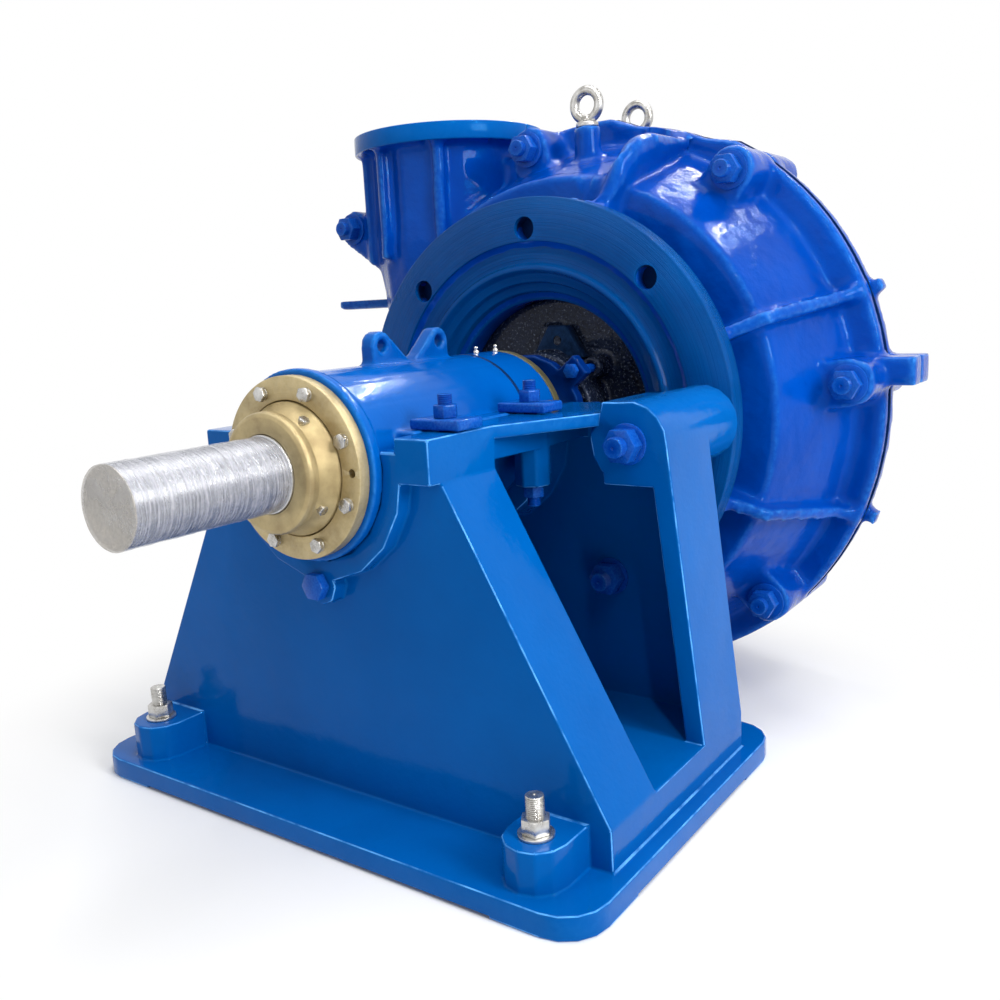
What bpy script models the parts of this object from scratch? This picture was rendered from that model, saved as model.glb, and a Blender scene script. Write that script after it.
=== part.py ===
import math

import bmesh
import bpy
from mathutils import Matrix, Vector

# Lined horizontal slurry pump with its bearing pedestal.
# The origin is the centre of the bare shaft's end face, +Y runs along the shaft
# towards the suction, +Z is up, and the drive end looks along +Y with +X to the right.

# Clearances and overruns used by every piece
FIT = 0.0003
SWEEP_GAP = 0.0025
RUNNING_GAP = 0.0012
OVERRUN = 0.02
SINK = 0.002
WELD_DISTANCE = 0.000003
FLAT_ANGLE = 0.002

# Roundness, in steps for a full turn
LARGE_STEPS = 24
MIDDLE_STEPS = 18
SMALL_STEPS = 8
DUCT_STEPS = 16
PIN_STEPS = 6
BOSS_STEPS = 5
ROLLER_STEPS = 3

# Stations along the shaft
AXIS_HEIGHT = 0.515
SHAFT_OVERHANG = 0.228
LABYRINTH_BOSS_LENGTH = 0.045
DRIVE_COVER_THICKNESS = 0.018
HOUSING_LENGTH = 0.454
PUMP_COVER_THICKNESS = 0.015
HOUSING_TO_CASING = 0.091
FRAME_PLATE_DEPTH = 0.310
COVER_PLATE_DEPTH = 0.330

DRIVE_COVER_FACE = SHAFT_OVERHANG + LABYRINTH_BOSS_LENGTH
HOUSING_FRONT = DRIVE_COVER_FACE + DRIVE_COVER_THICKNESS
HOUSING_REAR = HOUSING_FRONT + HOUSING_LENGTH
PUMP_COVER_FACE = HOUSING_REAR + PUMP_COVER_THICKNESS
RING_FACE = PUMP_COVER_FACE + HOUSING_TO_CASING
SPLIT = RING_FACE + FRAME_PLATE_DEPTH
SUCTION_FACE = SPLIT + COVER_PLATE_DEPTH
FLOOR = -AXIS_HEIGHT

# Shaft, key and the rolling bearings
SHAFT_END_RADIUS = 0.049
SHAFT_CHAMFER = 0.003
LABYRINTH_SEAT_RADIUS = 0.052
BEARING_SEAT_RADIUS = 0.055
SHAFT_BODY_RADIUS = 0.064
PUMP_BEARING_SEAT_RADIUS = 0.060
SLEEVE_SEAT_RADIUS = 0.052
IMPELLER_THREAD_RADIUS = 0.044
IMPELLER_THREAD_LENGTH = 0.100
KEY_WIDTH = 0.028
KEY_HEIGHT = 0.016
KEY_DEPTH = 0.010
KEY_LENGTH = 0.160
KEY_SETBACK = 0.020
RACE_WIDTH = 0.056
RACE_THICKNESS = 0.012
RACE_OUTER_RADIUS = 0.100
ROLLER_RADIUS = 0.0088
ROLLER_WEB = 0.0045
ROLLER_COUNT = 12
BEARING_SETBACK = 0.016
PUMP_RACE_OUTER_RADIUS = 0.103

# Bearing housing and its covers
HOUSING_RADIUS = 0.124
HOUSING_BORE_RADIUS = 0.088
HOUSING_RIM_PROUD = 0.007
HOUSING_RIM_RADIUS = HOUSING_RADIUS + HOUSING_RIM_PROUD
HOUSING_RIM_WIDTH = 0.017
HOUSING_GROOVE_STATION = 0.364
HOUSING_GROOVE_WIDTH = 0.004
HOUSING_GROOVE_DEPTH = 0.003
EAR_THICKNESS = 0.026
EAR_STATION = 0.144
EAR_FOOT = 0.086
EAR_HOLE_HEIGHT = 0.150
EAR_HOLE_RADIUS = 0.010
EAR_HOLE_INSET = 0.021
EAR_FOOT_HEIGHT = 0.121
LIP_PROUD = 0.027
LIP_REACH = HOUSING_RADIUS + LIP_PROUD
LIP_TOP = 0.044
LIP_THICKNESS = 0.020
LIP_STATION = 0.059
LIP_LENGTH = 0.310
DRIVE_COVER_RADIUS = 0.123
DRIVE_COVER_BORE = 0.091
SPIGOT_LENGTH = 0.0155
SPIGOT_WALL = 0.010
PUMP_COVER_RADIUS = 0.124
PUMP_COVER_BORE = 0.091
LABYRINTH_BOSS_RADIUS = 0.080
LABYRINTH_TAPER = 0.006
LABYRINTH_DISC_LENGTH = 0.026
LABYRINTH_GROOVE_WIDTH = 0.004
LABYRINTH_GROOVE_DEPTH = 0.004
PUMP_LABYRINTH_LENGTH = 0.046

# Adjusting screw below the housing
ADJUSTER_DROP = 0.167
ADJUSTER_RADIUS = 0.012
ADJUSTER_BOSS_RADIUS = 0.030
ADJUSTER_HEAD_FLATS = 0.036
ADJUSTER_HEAD_HEIGHT = 0.015
ADJUSTER_COLLAR_RADIUS = 0.020
ADJUSTER_COLLAR_LENGTH = 0.008
ADJUSTER_TAIL = 0.050
ADJUSTER_LUG_WIDTH = 0.052
ADJUSTER_LUG_LENGTH = 0.030
ADJUSTER_LUG_BELOW = 0.026
ADJUSTER_LUG_CLEAR = 0.014

# Pedestal
BASE_WIDTH = 0.920
BASE_FRONT_MARGIN = 0.111
BASE_REAR_MARGIN = 0.089
BASE_CORNER_RADIUS = 0.060
BASE_THICKNESS = 0.033
FOOT_RELIEF = 0.005
FOOT_LENGTH = 0.130
PLINTH_TOP = 0.089
PLINTH_HALF_WIDTH = 0.437
PLINTH_SKIN = 0.026
PLINTH_WALL = 0.030
HOLD_DOWN_OFFSET = 0.361
HOLD_DOWN_MARGIN = 0.061
HOLD_DOWN_PAD_RADIUS = 0.043
HOLD_DOWN_HOLE_RADIUS = 0.0135
WALL_SETBACK = 0.037
WALL_THICKNESS = 0.022
CLAMP_STANDOFF = 0.020
CLAMP_OFFSET = LIP_REACH + CLAMP_STANDOFF
LEG_TOP_MARGIN = 0.037
LEG_TOP_HALF_WIDTH = CLAMP_OFFSET + LEG_TOP_MARGIN
LEG_TOP_DROP = 0.015
FRONT_LEG_LENGTH = 0.118
FRONT_LEG_THICKNESS = 0.030
SADDLE_WALL = 0.037
SADDLE_RADIUS = HOUSING_RADIUS + SADDLE_WALL
SADDLE_SETBACK = 0.014
SADDLE_LENGTH = 0.070
REAR_SADDLE_LENGTH = 0.095
BLOCK_TOP = 0.042
RAIL_THICKNESS = 0.018
RAIL_FLARE = 0.290
RAIL_WEB_INSET = 0.012
RAIL_WEB_THICKNESS = 0.014
RAIL_WEB_DROP = 0.032
LUG_REACH = 0.116
LUG_RADIUS = 0.060
LUG_INNER_DROP = 0.041
REAR_LEG_LENGTH = 0.137
REAR_LEG_THICKNESS = 0.030
REAR_WALL_INSET = 0.012
LOWER_LUG_RADIUS = 0.045

# Clamps that hold the housing down in its cradle
CLAMP_STATION = 0.100
CLAMP_PITCH = 0.199
CLAMP_WASHER_LENGTH = 0.082
CLAMP_WASHER_WIDTH = 0.052
CLAMP_WASHER_THICKNESS = 0.014
CLAMP_WASHER_BEVEL = 0.003
CLAMP_BOLT_RADIUS = 0.010
CLAMP_NUT_FLATS = 0.030
CLAMP_NUT_HEIGHT = 0.017
CLAMP_BOLT_TAIL = 0.014
CLAMP_BOSS_RADIUS = 0.028
CLAMP_BOSS_BOTTOM = 0.066

# Frame plate: the drive side half of the casing
RING_RADIUS = 0.378
RING_THICKNESS = 0.040
RING_RECESS_RADIUS = 0.304
RING_RECESS_DEPTH = 0.010
RING_INNER_RADIUS = 0.254
RING_BORE_RADIUS = 0.204
RING_BORE_START = 0.049
RING_BORE_LENGTH = 0.070
RING_BOLT_CIRCLE = 0.326
RING_HOLE_RADIUS = 0.020
RING_HOLE_COUNT = 8
LOWER_BOLT_ANGLE = -45.0
SHELL_RADIUS = 0.482
SHELL_WALL = 0.026
SHELL_DEPTH = 0.036
SHOULDER_DROP = 0.067
SHOULDER_RADIUS = SHELL_RADIUS - SHOULDER_DROP
SHOULDER_STATION = 0.091
NECK_RING_RADIUS = 0.292
NECK_RING_GAP = 0.047
RIM_HEIGHT = 0.053
RIM_RADIUS = SHELL_RADIUS + RIM_HEIGHT
RIM_THICKNESS = 0.030
CAVITY_SHOULDER_INSET = 0.007
CAVITY_SHOULDER_RADIUS = SHOULDER_RADIUS - CAVITY_SHOULDER_INSET

# Casing bolts round the split, and the ribs between them
CASING_BOLT_SETOUT = 0.017
CASING_BOLT_CIRCLE = SHELL_RADIUS + CASING_BOLT_SETOUT
CASING_BOLT_ANGLES = (103.0, 54.0, 5.0, -44.0, -93.0, -142.0, 169.0)
CASING_BOLT_RADIUS = 0.015
CASING_HOLE_RADIUS = 0.0165
CASING_NUT_FLATS = 0.046
CASING_NUT_HEIGHT = 0.024
CASING_WASHER_RADIUS = 0.033
CASING_WASHER_THICKNESS = 0.005
CASING_BOLT_TAIL = 0.012
CASING_BOSS_RADIUS = 0.040
CASING_BOSS_DEPTH = 0.116
RIB_ANGLES = (21.5, -22.0, -68.0, -117.0)
RIB_THICKNESS = 0.022
RIB_PROUD = 0.020
WIDE_RIB_ANGLE = 74.0
WIDE_RIB_THICKNESS = 0.075
JACK_LUG_HALF_HEIGHT = 0.024
JACK_LUG_HEIGHT = 0.058
JACK_LUG_PROUD = 0.051
JACK_LUG_REACH = RIM_RADIUS + JACK_LUG_PROUD
JACK_LUG_DEPTH = 0.052
JACK_LUG_HOLE_RADIUS = 0.005
FIN_HEIGHT = 0.215
FIN_THICKNESS = 0.020
FIN_PROUD = 0.165
FIN_REACH = RIM_RADIUS + FIN_PROUD
FIN_DEPTH = 0.055

# Discharge nozzle, split with the casing
NOZZLE_INSET = 0.093
NOZZLE_OFFSET = SHELL_RADIUS - NOZZLE_INSET
NOZZLE_RISE = 0.075
NOZZLE_TOP = SHELL_RADIUS + NOZZLE_RISE
NOZZLE_BOLT_SETOUT = 0.188
NOZZLE_BOLT_DROP = 0.180
NOZZLE_BORE_RADIUS = 0.125
NOZZLE_LINER_WALL = 0.018
NOZZLE_RADIUS = 0.166
NOZZLE_FLANGE_RADIUS = 0.202
NOZZLE_FLANGE_THICKNESS = 0.034
NOZZLE_BOLT_CIRCLE = 0.181
NOZZLE_HOLE_RADIUS = 0.0125
NOZZLE_HOLE_COUNT = 8
NOZZLE_RIB_ANGLES = (-140.0, -105.0, -60.0)
NOZZLE_RIB_PROUD = 0.022
NOZZLE_RIB_START = 0.300
NOZZLE_RIB_THICKNESS = 0.022
JOINT_RING_THICKNESS = 0.008
DUCT_SHARES = ((0.0, 0.0), (0.15, 0.28), (0.32, 0.68), (0.52, 1.0), (1.0, 1.0))

# Eye bolts on top of each half
EYE_OFFSET_X = 0.011
EYE_SPACING = 0.100
EYE_BOSS_RADIUS = 0.026
EYE_BOSS_PROUD = 0.030
EYE_BOSS_TOP = SHELL_RADIUS + EYE_BOSS_PROUD
EYE_COLLAR_RADIUS = 0.021
EYE_COLLAR_HEIGHT = 0.008
EYE_RING_RADIUS = 0.027
EYE_WIRE_RADIUS = 0.0075
EYE_SHANK_RADIUS = 0.009
EYE_SHANK_LENGTH = 0.030

# Suction side of the cover plate
SUCTION_BORE_RADIUS = 0.150
SUCTION_FLANGE_RADIUS = 0.241
SUCTION_FLANGE_THICKNESS = 0.034
SUCTION_NECK_RADIUS = 0.196
SUCTION_BOLT_CIRCLE = 0.215
SUCTION_HOLE_RADIUS = 0.0125
SUCTION_HOLE_COUNT = 8
COVER_SHOULDER_DEPTH = 0.221
COVER_CAVITY_INSET = 0.013
COVER_CAVITY_RADIUS = SHOULDER_RADIUS - COVER_CAVITY_INSET
COVER_DOME_DEPTH = 0.245
COVER_DOME_RADIUS = 0.300
COVER_WALL = 0.028

# Wet end: impeller, volute and the two side liners
VOLUTE_INSET = 0.067
VOLUTE_END_RADIUS = SHELL_RADIUS - VOLUTE_INSET
VOLUTE_GROWTH = 0.063
VOLUTE_START_RADIUS = VOLUTE_END_RADIUS - VOLUTE_GROWTH
TONGUE_GAP = 0.037
IMPELLER_RADIUS = VOLUTE_START_RADIUS - TONGUE_GAP
IMPELLER_WIDTH = 0.200
IMPELLER_CENTRE_AHEAD = 0.002
SHROUD_THICKNESS = 0.020
IMPELLER_EYE_RADIUS = 0.128
IMPELLER_EYE_LENGTH = 0.020
EYE_LIP_WALL = 0.014
HUB_RADIUS = 0.078
HUB_NOSE_RADIUS = 0.030
VANE_COUNT = 5
VANE_THICKNESS = 0.022
VANE_SWEEP = 95.0
VANE_START_RADIUS = 0.085
VANE_STEPS = 4
PUMP_OUT_VANE_COUNT = 8
PUMP_OUT_VANE_HEIGHT = 0.008
PUMP_OUT_VANE_THICKNESS = 0.010
IMPELLER_SIDE_GAP = 0.010
SIDE_LINER_THICKNESS = 0.046
BUSH_THICKNESS = 0.034
SIDE_LINER_INSET = 0.014
SIDE_LINER_RADIUS = VOLUTE_START_RADIUS - SIDE_LINER_INSET
VOLUTE_HALF_WIDTH = 0.125
VOLUTE_WALL = 0.020
VOLUTE_TONGUE_ANGLE = 133.0
VOLUTE_STEPS = 20
VOLUTE_CORNER_SHARE = 0.55
VOLUTE_CORNER_STEPS = 2
THROATBUSH_BORE = 0.127

# Gland and stuffing box
STUFFING_BORE_RADIUS = 0.085
STUFFING_BARREL_RADIUS = 0.112
STUFFING_BARREL_PROUD = 0.030
STUFFING_FLANGE_THICKNESS = 0.032
STUFFING_HEEL_RADIUS = 0.074
STUFFING_HEEL_LENGTH = 0.018
STUFFING_COLLAR_RADIUS = 0.240
STUFFING_COLLAR_THICKNESS = 0.030
LIFT_LUG_TOP = 0.158
LIFT_LUG_TOP_HALF = 0.016
LIFT_LUG_FOOT_HALF = 0.034
LIFT_LUG_THICKNESS = 0.020
LIFT_LUG_HOLE_HEIGHT = 0.134
LIFT_LUG_HOLE_RADIUS = 0.007
SLEEVE_RADIUS = 0.068
SLEEVE_SETBACK = 0.040
PACKING_WIDTH = 0.016
LANTERN_WIDTH = 0.020
LANTERN_WAIST = 0.003
GLAND_NOSE_CLEAR = 0.016
GLAND_FLANGE_RADIUS = 0.112
GLAND_FLANGE_THICKNESS = 0.022
GLAND_EAR_REACH = 0.148
GLAND_EAR_HALF_WIDTH = 0.020
GLAND_TAB_REACH = 0.150
GLAND_TAB_THICKNESS = 0.016
GLAND_CLAMP_OFFSET = 0.130
GLAND_CLAMP_RADIUS = 0.008
GLAND_CLAMP_FLATS = 0.024
GLAND_CLAMP_HEAD = 0.013
GLAND_CLAMP_TAIL = 0.010
GLAND_BOLT_ANGLE = 40.0
GLAND_BOLT_CIRCLE = 0.130
GLAND_BOLT_RADIUS = 0.008
GLAND_BOLT_FLATS = 0.024
GLAND_BOLT_HEAD = 0.010
GLAND_BOLT_BITE = 0.030

# Hold-down studs
HOLD_DOWN_RADIUS = 0.012
HOLD_DOWN_FLATS = 0.036
HOLD_DOWN_NUT_HEIGHT = 0.020
HOLD_DOWN_WASHER_RADIUS = 0.022
HOLD_DOWN_WASHER_THICKNESS = 0.004
HOLD_DOWN_TAIL = 0.028

# Frame bolts that tie the casing to the pedestal
FRAME_BOLT_RADIUS = 0.015
FRAME_BOLT_HOLE_RADIUS = 0.0165
FRAME_NUT_FLATS = 0.046
FRAME_NUT_HEIGHT = 0.024
FRAME_WASHER_RADIUS = 0.030
FRAME_WASHER_THICKNESS = 0.004
FRAME_BOLT_TAIL = 0.016

# Colours, roughness and metallic value of each finish
BLUE = ((0.004, 0.110, 0.560, 1.0), 0.25, 0.0)
GOLD = ((0.480, 0.390, 0.180, 1.0), 0.35, 0.9)
STEEL = ((0.560, 0.570, 0.580, 1.0), 0.30, 1.0)
ZINC = ((0.640, 0.650, 0.660, 1.0), 0.35, 1.0)
IRON = ((0.060, 0.065, 0.075, 1.0), 0.80, 0.4)
CHROME_IRON = ((0.330, 0.330, 0.330, 1.0), 0.45, 0.8)
RUBBER = ((0.020, 0.020, 0.022, 1.0), 0.70, 0.0)
PACKING = ((0.160, 0.140, 0.090, 1.0), 0.95, 0.0)

for leftover in list(bpy.data.objects):
    bpy.data.objects.remove(leftover, do_unlink=True)


def arc(centre, radius, start, end, steps):
    """Points of an arc in a plane, angles in degrees."""
    points = []
    for step in range(steps + 1):
        angle = math.radians(start + (end - start) * step / steps)
        points.append((centre[0] + radius * math.cos(angle), centre[1] + radius * math.sin(angle)))
    return points


def polar(radius, angle):
    """A point at an angle in degrees about the shaft, as x and z."""
    return radius * math.cos(math.radians(angle)), radius * math.sin(math.radians(angle))


def slab(outline, first, second, start, end):
    """Closed prism: the outline lies in the first and second axes, and is drawn out along the third."""
    body = bmesh.new()
    third = 3 - first - second
    corners = []
    for point in outline:
        place = [0.0, 0.0, 0.0]
        place[first], place[second], place[third] = point[0], point[1], start
        corners.append(body.verts.new(place))
    face = body.faces.new(corners)
    grown = bmesh.ops.extrude_face_region(body, geom=[face])
    shift = Vector((0.0, 0.0, 0.0))
    shift[third] = end - start
    moved = [item for item in grown["geom"] if isinstance(item, bmesh.types.BMVert)]
    bmesh.ops.translate(body, vec=shift, verts=moved)
    bmesh.ops.recalc_face_normals(body, faces=body.faces)
    return body


def block(low, high):
    """Closed box between two corners."""
    outline = [(low[0], low[1]), (high[0], low[1]), (high[0], high[1]), (low[0], high[1])]
    return slab(outline, 0, 1, low[2], high[2])


def turned(outline, steps, centre=(0.0, 0.0), axis=1):
    """Closed body turned about a line along Y or Z; the outline is pairs of radius and station."""
    body = bmesh.new()
    verts = []
    for radius, station in outline:
        place = (radius, station, 0.0) if axis == 1 else (radius, 0.0, station)
        verts.append(body.verts.new(place))
    edges = []
    for index, vert in enumerate(verts):
        following = (index + 1) % len(verts)
        if outline[index][0] == 0.0 and outline[following][0] == 0.0:
            continue
        edges.append(body.edges.new((vert, verts[following])))
    direction = (0.0, 1.0, 0.0) if axis == 1 else (0.0, 0.0, 1.0)
    bmesh.ops.spin(body, geom=verts + edges, cent=(0.0, 0.0, 0.0), axis=direction,
                   angle=math.tau, steps=steps, use_merge=True)
    bmesh.ops.remove_doubles(body, verts=body.verts, dist=WELD_DISTANCE)
    bmesh.ops.dissolve_degenerate(body, edges=body.edges, dist=WELD_DISTANCE)
    shift = (centre[0], 0.0, centre[1]) if axis == 1 else (centre[0], centre[1], 0.0)
    bmesh.ops.translate(body, vec=shift, verts=body.verts)
    bmesh.ops.recalc_face_normals(body, faces=body.faces)
    return body


def rod(radius, start, end, centre=(0.0, 0.0), axis=1, steps=SMALL_STEPS):
    """Closed round bar along Y or Z."""
    return turned([(0.0, start), (radius, start), (radius, end), (0.0, end)], steps, centre, axis)


def hexagon(flats, start, end, centre=(0.0, 0.0), axis=1):
    """Closed hexagon bar, sized across its flats."""
    return rod(flats / math.sqrt(3), start, end, centre, axis, 6)


def open_radius(radius, steps):
    """Corner radius of a bore whose flats stay clear of a round bar of this radius."""
    return radius / math.cos(math.pi / steps)


def flat_radius(radius, steps):
    """Distance from the centre to the flats of a bore of this corner radius."""
    return radius * math.cos(math.pi / steps)


def bolt(radius, flats, stations, place, axis=1):
    """Threaded bar with hexagon nuts; the stations are the bar's start, each nut's two faces and its end."""
    corner = flats / math.sqrt(3)
    outline = [(0.0, stations[0]), (radius, stations[0])]
    for start, end in zip(stations[1:-1:2], stations[2:-1:2]):
        outline += [(radius, start), (corner, start), (corner, end), (radius, end)]
    outline += [(radius, stations[-1]), (0.0, stations[-1])]
    return turned(outline, PIN_STEPS, place, axis)


def moved(body, shift):
    bmesh.ops.translate(body, vec=shift, verts=body.verts)
    return body


def combine(body, tool, operation):
    """Exact Boolean of two closed bodies, which uses both up."""
    holders = []
    for shape in (body, tool):
        mesh = bpy.data.meshes.new("work")
        shape.to_mesh(mesh)
        shape.free()
        holder = bpy.data.objects.new("work", mesh)
        bpy.context.scene.collection.objects.link(holder)
        holders.append(holder)
    modifier = holders[0].modifiers.new("work", "BOOLEAN")
    modifier.operation = operation
    modifier.solver = "EXACT"
    modifier.object = holders[1]
    bpy.context.view_layer.update()
    evaluated = holders[0].evaluated_get(bpy.context.evaluated_depsgraph_get())
    result = bmesh.new()
    result.from_mesh(evaluated.to_mesh())
    evaluated.to_mesh_clear()
    bmesh.ops.remove_doubles(result, verts=result.verts, dist=WELD_DISTANCE)
    bmesh.ops.dissolve_degenerate(result, edges=result.edges, dist=WELD_DISTANCE)
    for holder in holders:
        mesh = holder.data
        bpy.data.objects.remove(holder, do_unlink=True)
        bpy.data.meshes.remove(mesh)
    return result


def cut(body, *tools):
    for tool in tools:
        body = combine(body, tool, "DIFFERENCE")
    return body


def weld(body, *tools):
    for tool in tools:
        body = combine(body, tool, "UNION")
    return body


def frame(name, place, parent=None):
    """Empty that carries the pieces of one moving body, on its joint's axis."""
    empty = bpy.data.objects.new(name, None)
    bpy.context.scene.collection.objects.link(empty)
    if parent:
        empty.parent = parent
        place = Vector(place) - parent.matrix_world.translation
    empty.location = place
    bpy.context.view_layer.update()
    return empty


def add_piece(name, body, finish, parent=None):
    """Name the body as one piece, give it its finish and hang it on its carrier."""
    origin = parent.matrix_world.translation if parent else Vector((0.0, 0.0, 0.0))
    bmesh.ops.translate(body, vec=-origin, verts=body.verts)
    bmesh.ops.dissolve_limit(body, angle_limit=FLAT_ANGLE, verts=body.verts, edges=body.edges)
    mesh = bpy.data.meshes.new(name)
    body.to_mesh(mesh)
    body.free()
    mesh.shade_smooth()
    mesh.set_sharp_from_angle(angle=math.radians(35))
    piece = bpy.data.objects.new(name, mesh)
    bpy.context.scene.collection.objects.link(piece)
    piece.parent = parent
    colour, roughness, metallic = finish
    material = bpy.data.materials.new(name)
    material.use_nodes = True
    shader = material.node_tree.nodes["Principled BSDF"]
    shader.inputs["Base Color"].default_value = colour
    shader.inputs["Roughness"].default_value = roughness
    shader.inputs["Metallic"].default_value = metallic
    mesh.materials.append(material)
    return piece


# Carriers of the moving pieces
ADJUSTER_FACE = HOUSING_FRONT + SADDLE_SETBACK
bearing_carrier = frame("bearing_assembly", (0.0, HOUSING_FRONT, 0.0))
rotor_carrier = frame("rotor", (0.0, 0.0, 0.0), bearing_carrier)
drive_cage_carrier = frame("drive_cage", (0.0, HOUSING_FRONT, 0.0), bearing_carrier)
pump_cage_carrier = frame("pump_cage", (0.0, HOUSING_REAR, 0.0), bearing_carrier)
adjuster_carrier = frame("adjuster", (0.0, ADJUSTER_FACE, -ADJUSTER_DROP))
gland_carrier = frame("gland", (0.0, RING_FACE, 0.0))


# Pedestal: base plate, plinth, front and rear walls, legs, cradle, rails and casing lugs
WALL_FRONT = HOUSING_FRONT + WALL_SETBACK
WALL_REAR = RING_FACE - LUG_REACH
BASE_FRONT = WALL_FRONT - BASE_FRONT_MARGIN
BASE_REAR = WALL_REAR + BASE_REAR_MARGIN
BASE_TOP = FLOOR + BASE_THICKNESS
PLINTH_LEVEL = FLOOR + PLINTH_TOP
CRADLE_RADIUS = HOUSING_RADIUS + FIT
RIM_CLEAR_RADIUS = HOUSING_RIM_RADIUS + SWEEP_GAP
RAIL_BOTTOM = BLOCK_TOP - RAIL_THICKNESS
REAR_LEG_FRONT = WALL_REAR - REAR_LEG_LENGTH
LUG_OUTER = RING_BOLT_CIRCLE + LUG_RADIUS
hold_down_places = []
for across in (-HOLD_DOWN_OFFSET, HOLD_DOWN_OFFSET):
    for along in (BASE_FRONT + HOLD_DOWN_MARGIN, BASE_REAR - HOLD_DOWN_MARGIN):
        hold_down_places.append((across, along))
clamp_places = []
for across in (-CLAMP_OFFSET, CLAMP_OFFSET):
    for step in range(2):
        clamp_places.append((across, HOUSING_FRONT + CLAMP_STATION + step * CLAMP_PITCH))


def base_plate():
    half = BASE_WIDTH / 2
    inset_x = half - BASE_CORNER_RADIUS
    front = BASE_FRONT + BASE_CORNER_RADIUS
    rear = BASE_REAR - BASE_CORNER_RADIUS
    outline = arc((inset_x, front), BASE_CORNER_RADIUS, -90, 0, 4)
    outline += arc((inset_x, rear), BASE_CORNER_RADIUS, 0, 90, 4)
    outline += arc((-inset_x, rear), BASE_CORNER_RADIUS, 90, 180, 4)
    outline += arc((-inset_x, front), BASE_CORNER_RADIUS, 180, 270, 4)
    plate = slab(outline, 0, 1, FLOOR, BASE_TOP)
    relief = FLOOR + FOOT_RELIEF
    across = block((-half + FOOT_LENGTH, BASE_FRONT - OVERRUN, FLOOR - OVERRUN),
                   (half - FOOT_LENGTH, BASE_REAR + OVERRUN, relief))
    along = block((-half - OVERRUN, BASE_FRONT + FOOT_LENGTH, FLOOR - OVERRUN),
                  (half + OVERRUN, BASE_REAR - FOOT_LENGTH, relief))
    return cut(plate, across, along)


def plinth():
    bottom = BASE_TOP - SINK
    body = block((-PLINTH_HALF_WIDTH, WALL_FRONT, bottom), (PLINTH_HALF_WIDTH, WALL_REAR, PLINTH_LEVEL))
    for across, along in hold_down_places:
        start, end, edge = 180, 360, WALL_FRONT + OVERRUN
        if along > WALL_FRONT:
            start, end, edge = 0, 180, WALL_REAR - OVERRUN
        nose = arc((across, along), HOLD_DOWN_PAD_RADIUS, start, end, 6)
        last, first = nose[-1][0], nose[0][0]
        nose += [(last, edge), (first, edge)]
        body = weld(body, slab(nose, 0, 1, bottom, PLINTH_LEVEL))
    return body


def across_wall(top_half, foot_half, top, start, end):
    bottom = PLINTH_LEVEL - SINK
    outline = [(-foot_half, bottom), (foot_half, bottom), (top_half, top), (-top_half, top)]
    return slab(outline, 0, 2, start, end)


def leg(side, top_outer, top, thickness, start, end):
    bottom = PLINTH_LEVEL - SINK
    outline = [(side * PLINTH_HALF_WIDTH, bottom), (side * top_outer, top),
               (side * (top_outer - thickness), top), (side * (PLINTH_HALF_WIDTH - thickness), bottom)]
    return slab(outline, 0, 2, start, end)


def rail(side):
    inner = side * HOUSING_RADIUS
    outer = side * LEG_TOP_HALF_WIDTH
    flare = side * RAIL_FLARE
    outline = [(inner, WALL_FRONT), (outer, WALL_FRONT), (outer, WALL_FRONT + FRONT_LEG_LENGTH),
               (flare, REAR_LEG_FRONT + OVERRUN), (flare, WALL_REAR), (inner, WALL_REAR)]
    return slab(outline, 0, 1, RAIL_BOTTOM, BLOCK_TOP)


def rail_web(side):
    start = WALL_FRONT + FRONT_LEG_LENGTH - SINK
    end = WALL_REAR - SINK
    outline = [(start, RAIL_BOTTOM - RAIL_WEB_DROP), (end, RAIL_BOTTOM - RAIL_WEB_DROP),
               (end, RAIL_BOTTOM + SINK), (start, RAIL_BOTTOM + SINK)]
    near = side * (LEG_TOP_HALF_WIDTH - RAIL_WEB_INSET)
    far = near - side * RAIL_WEB_THICKNESS
    return slab(outline, 1, 2, near, far)


def casing_lug(side):
    """Round boss that the casing ring is bolted to, with the square block below its inner side."""
    centre = side * RING_BOLT_CIRCLE
    boss = rod(LUG_RADIUS, REAR_LEG_FRONT, RING_FACE - FIT, (centre, 0.0), steps=MIDDLE_STEPS)
    inner = centre - side * LUG_INNER_DROP
    outer = side * (LUG_OUTER - SINK)
    low = (min(inner, outer), REAR_LEG_FRONT, -LUG_RADIUS)
    high = (max(inner, outer), WALL_REAR, 0.0)
    top = block((min(inner, centre), REAR_LEG_FRONT, -SINK),
                (max(inner, centre), WALL_REAR, LUG_RADIUS - SINK))
    return weld(boss, block(low, high), top)


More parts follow.
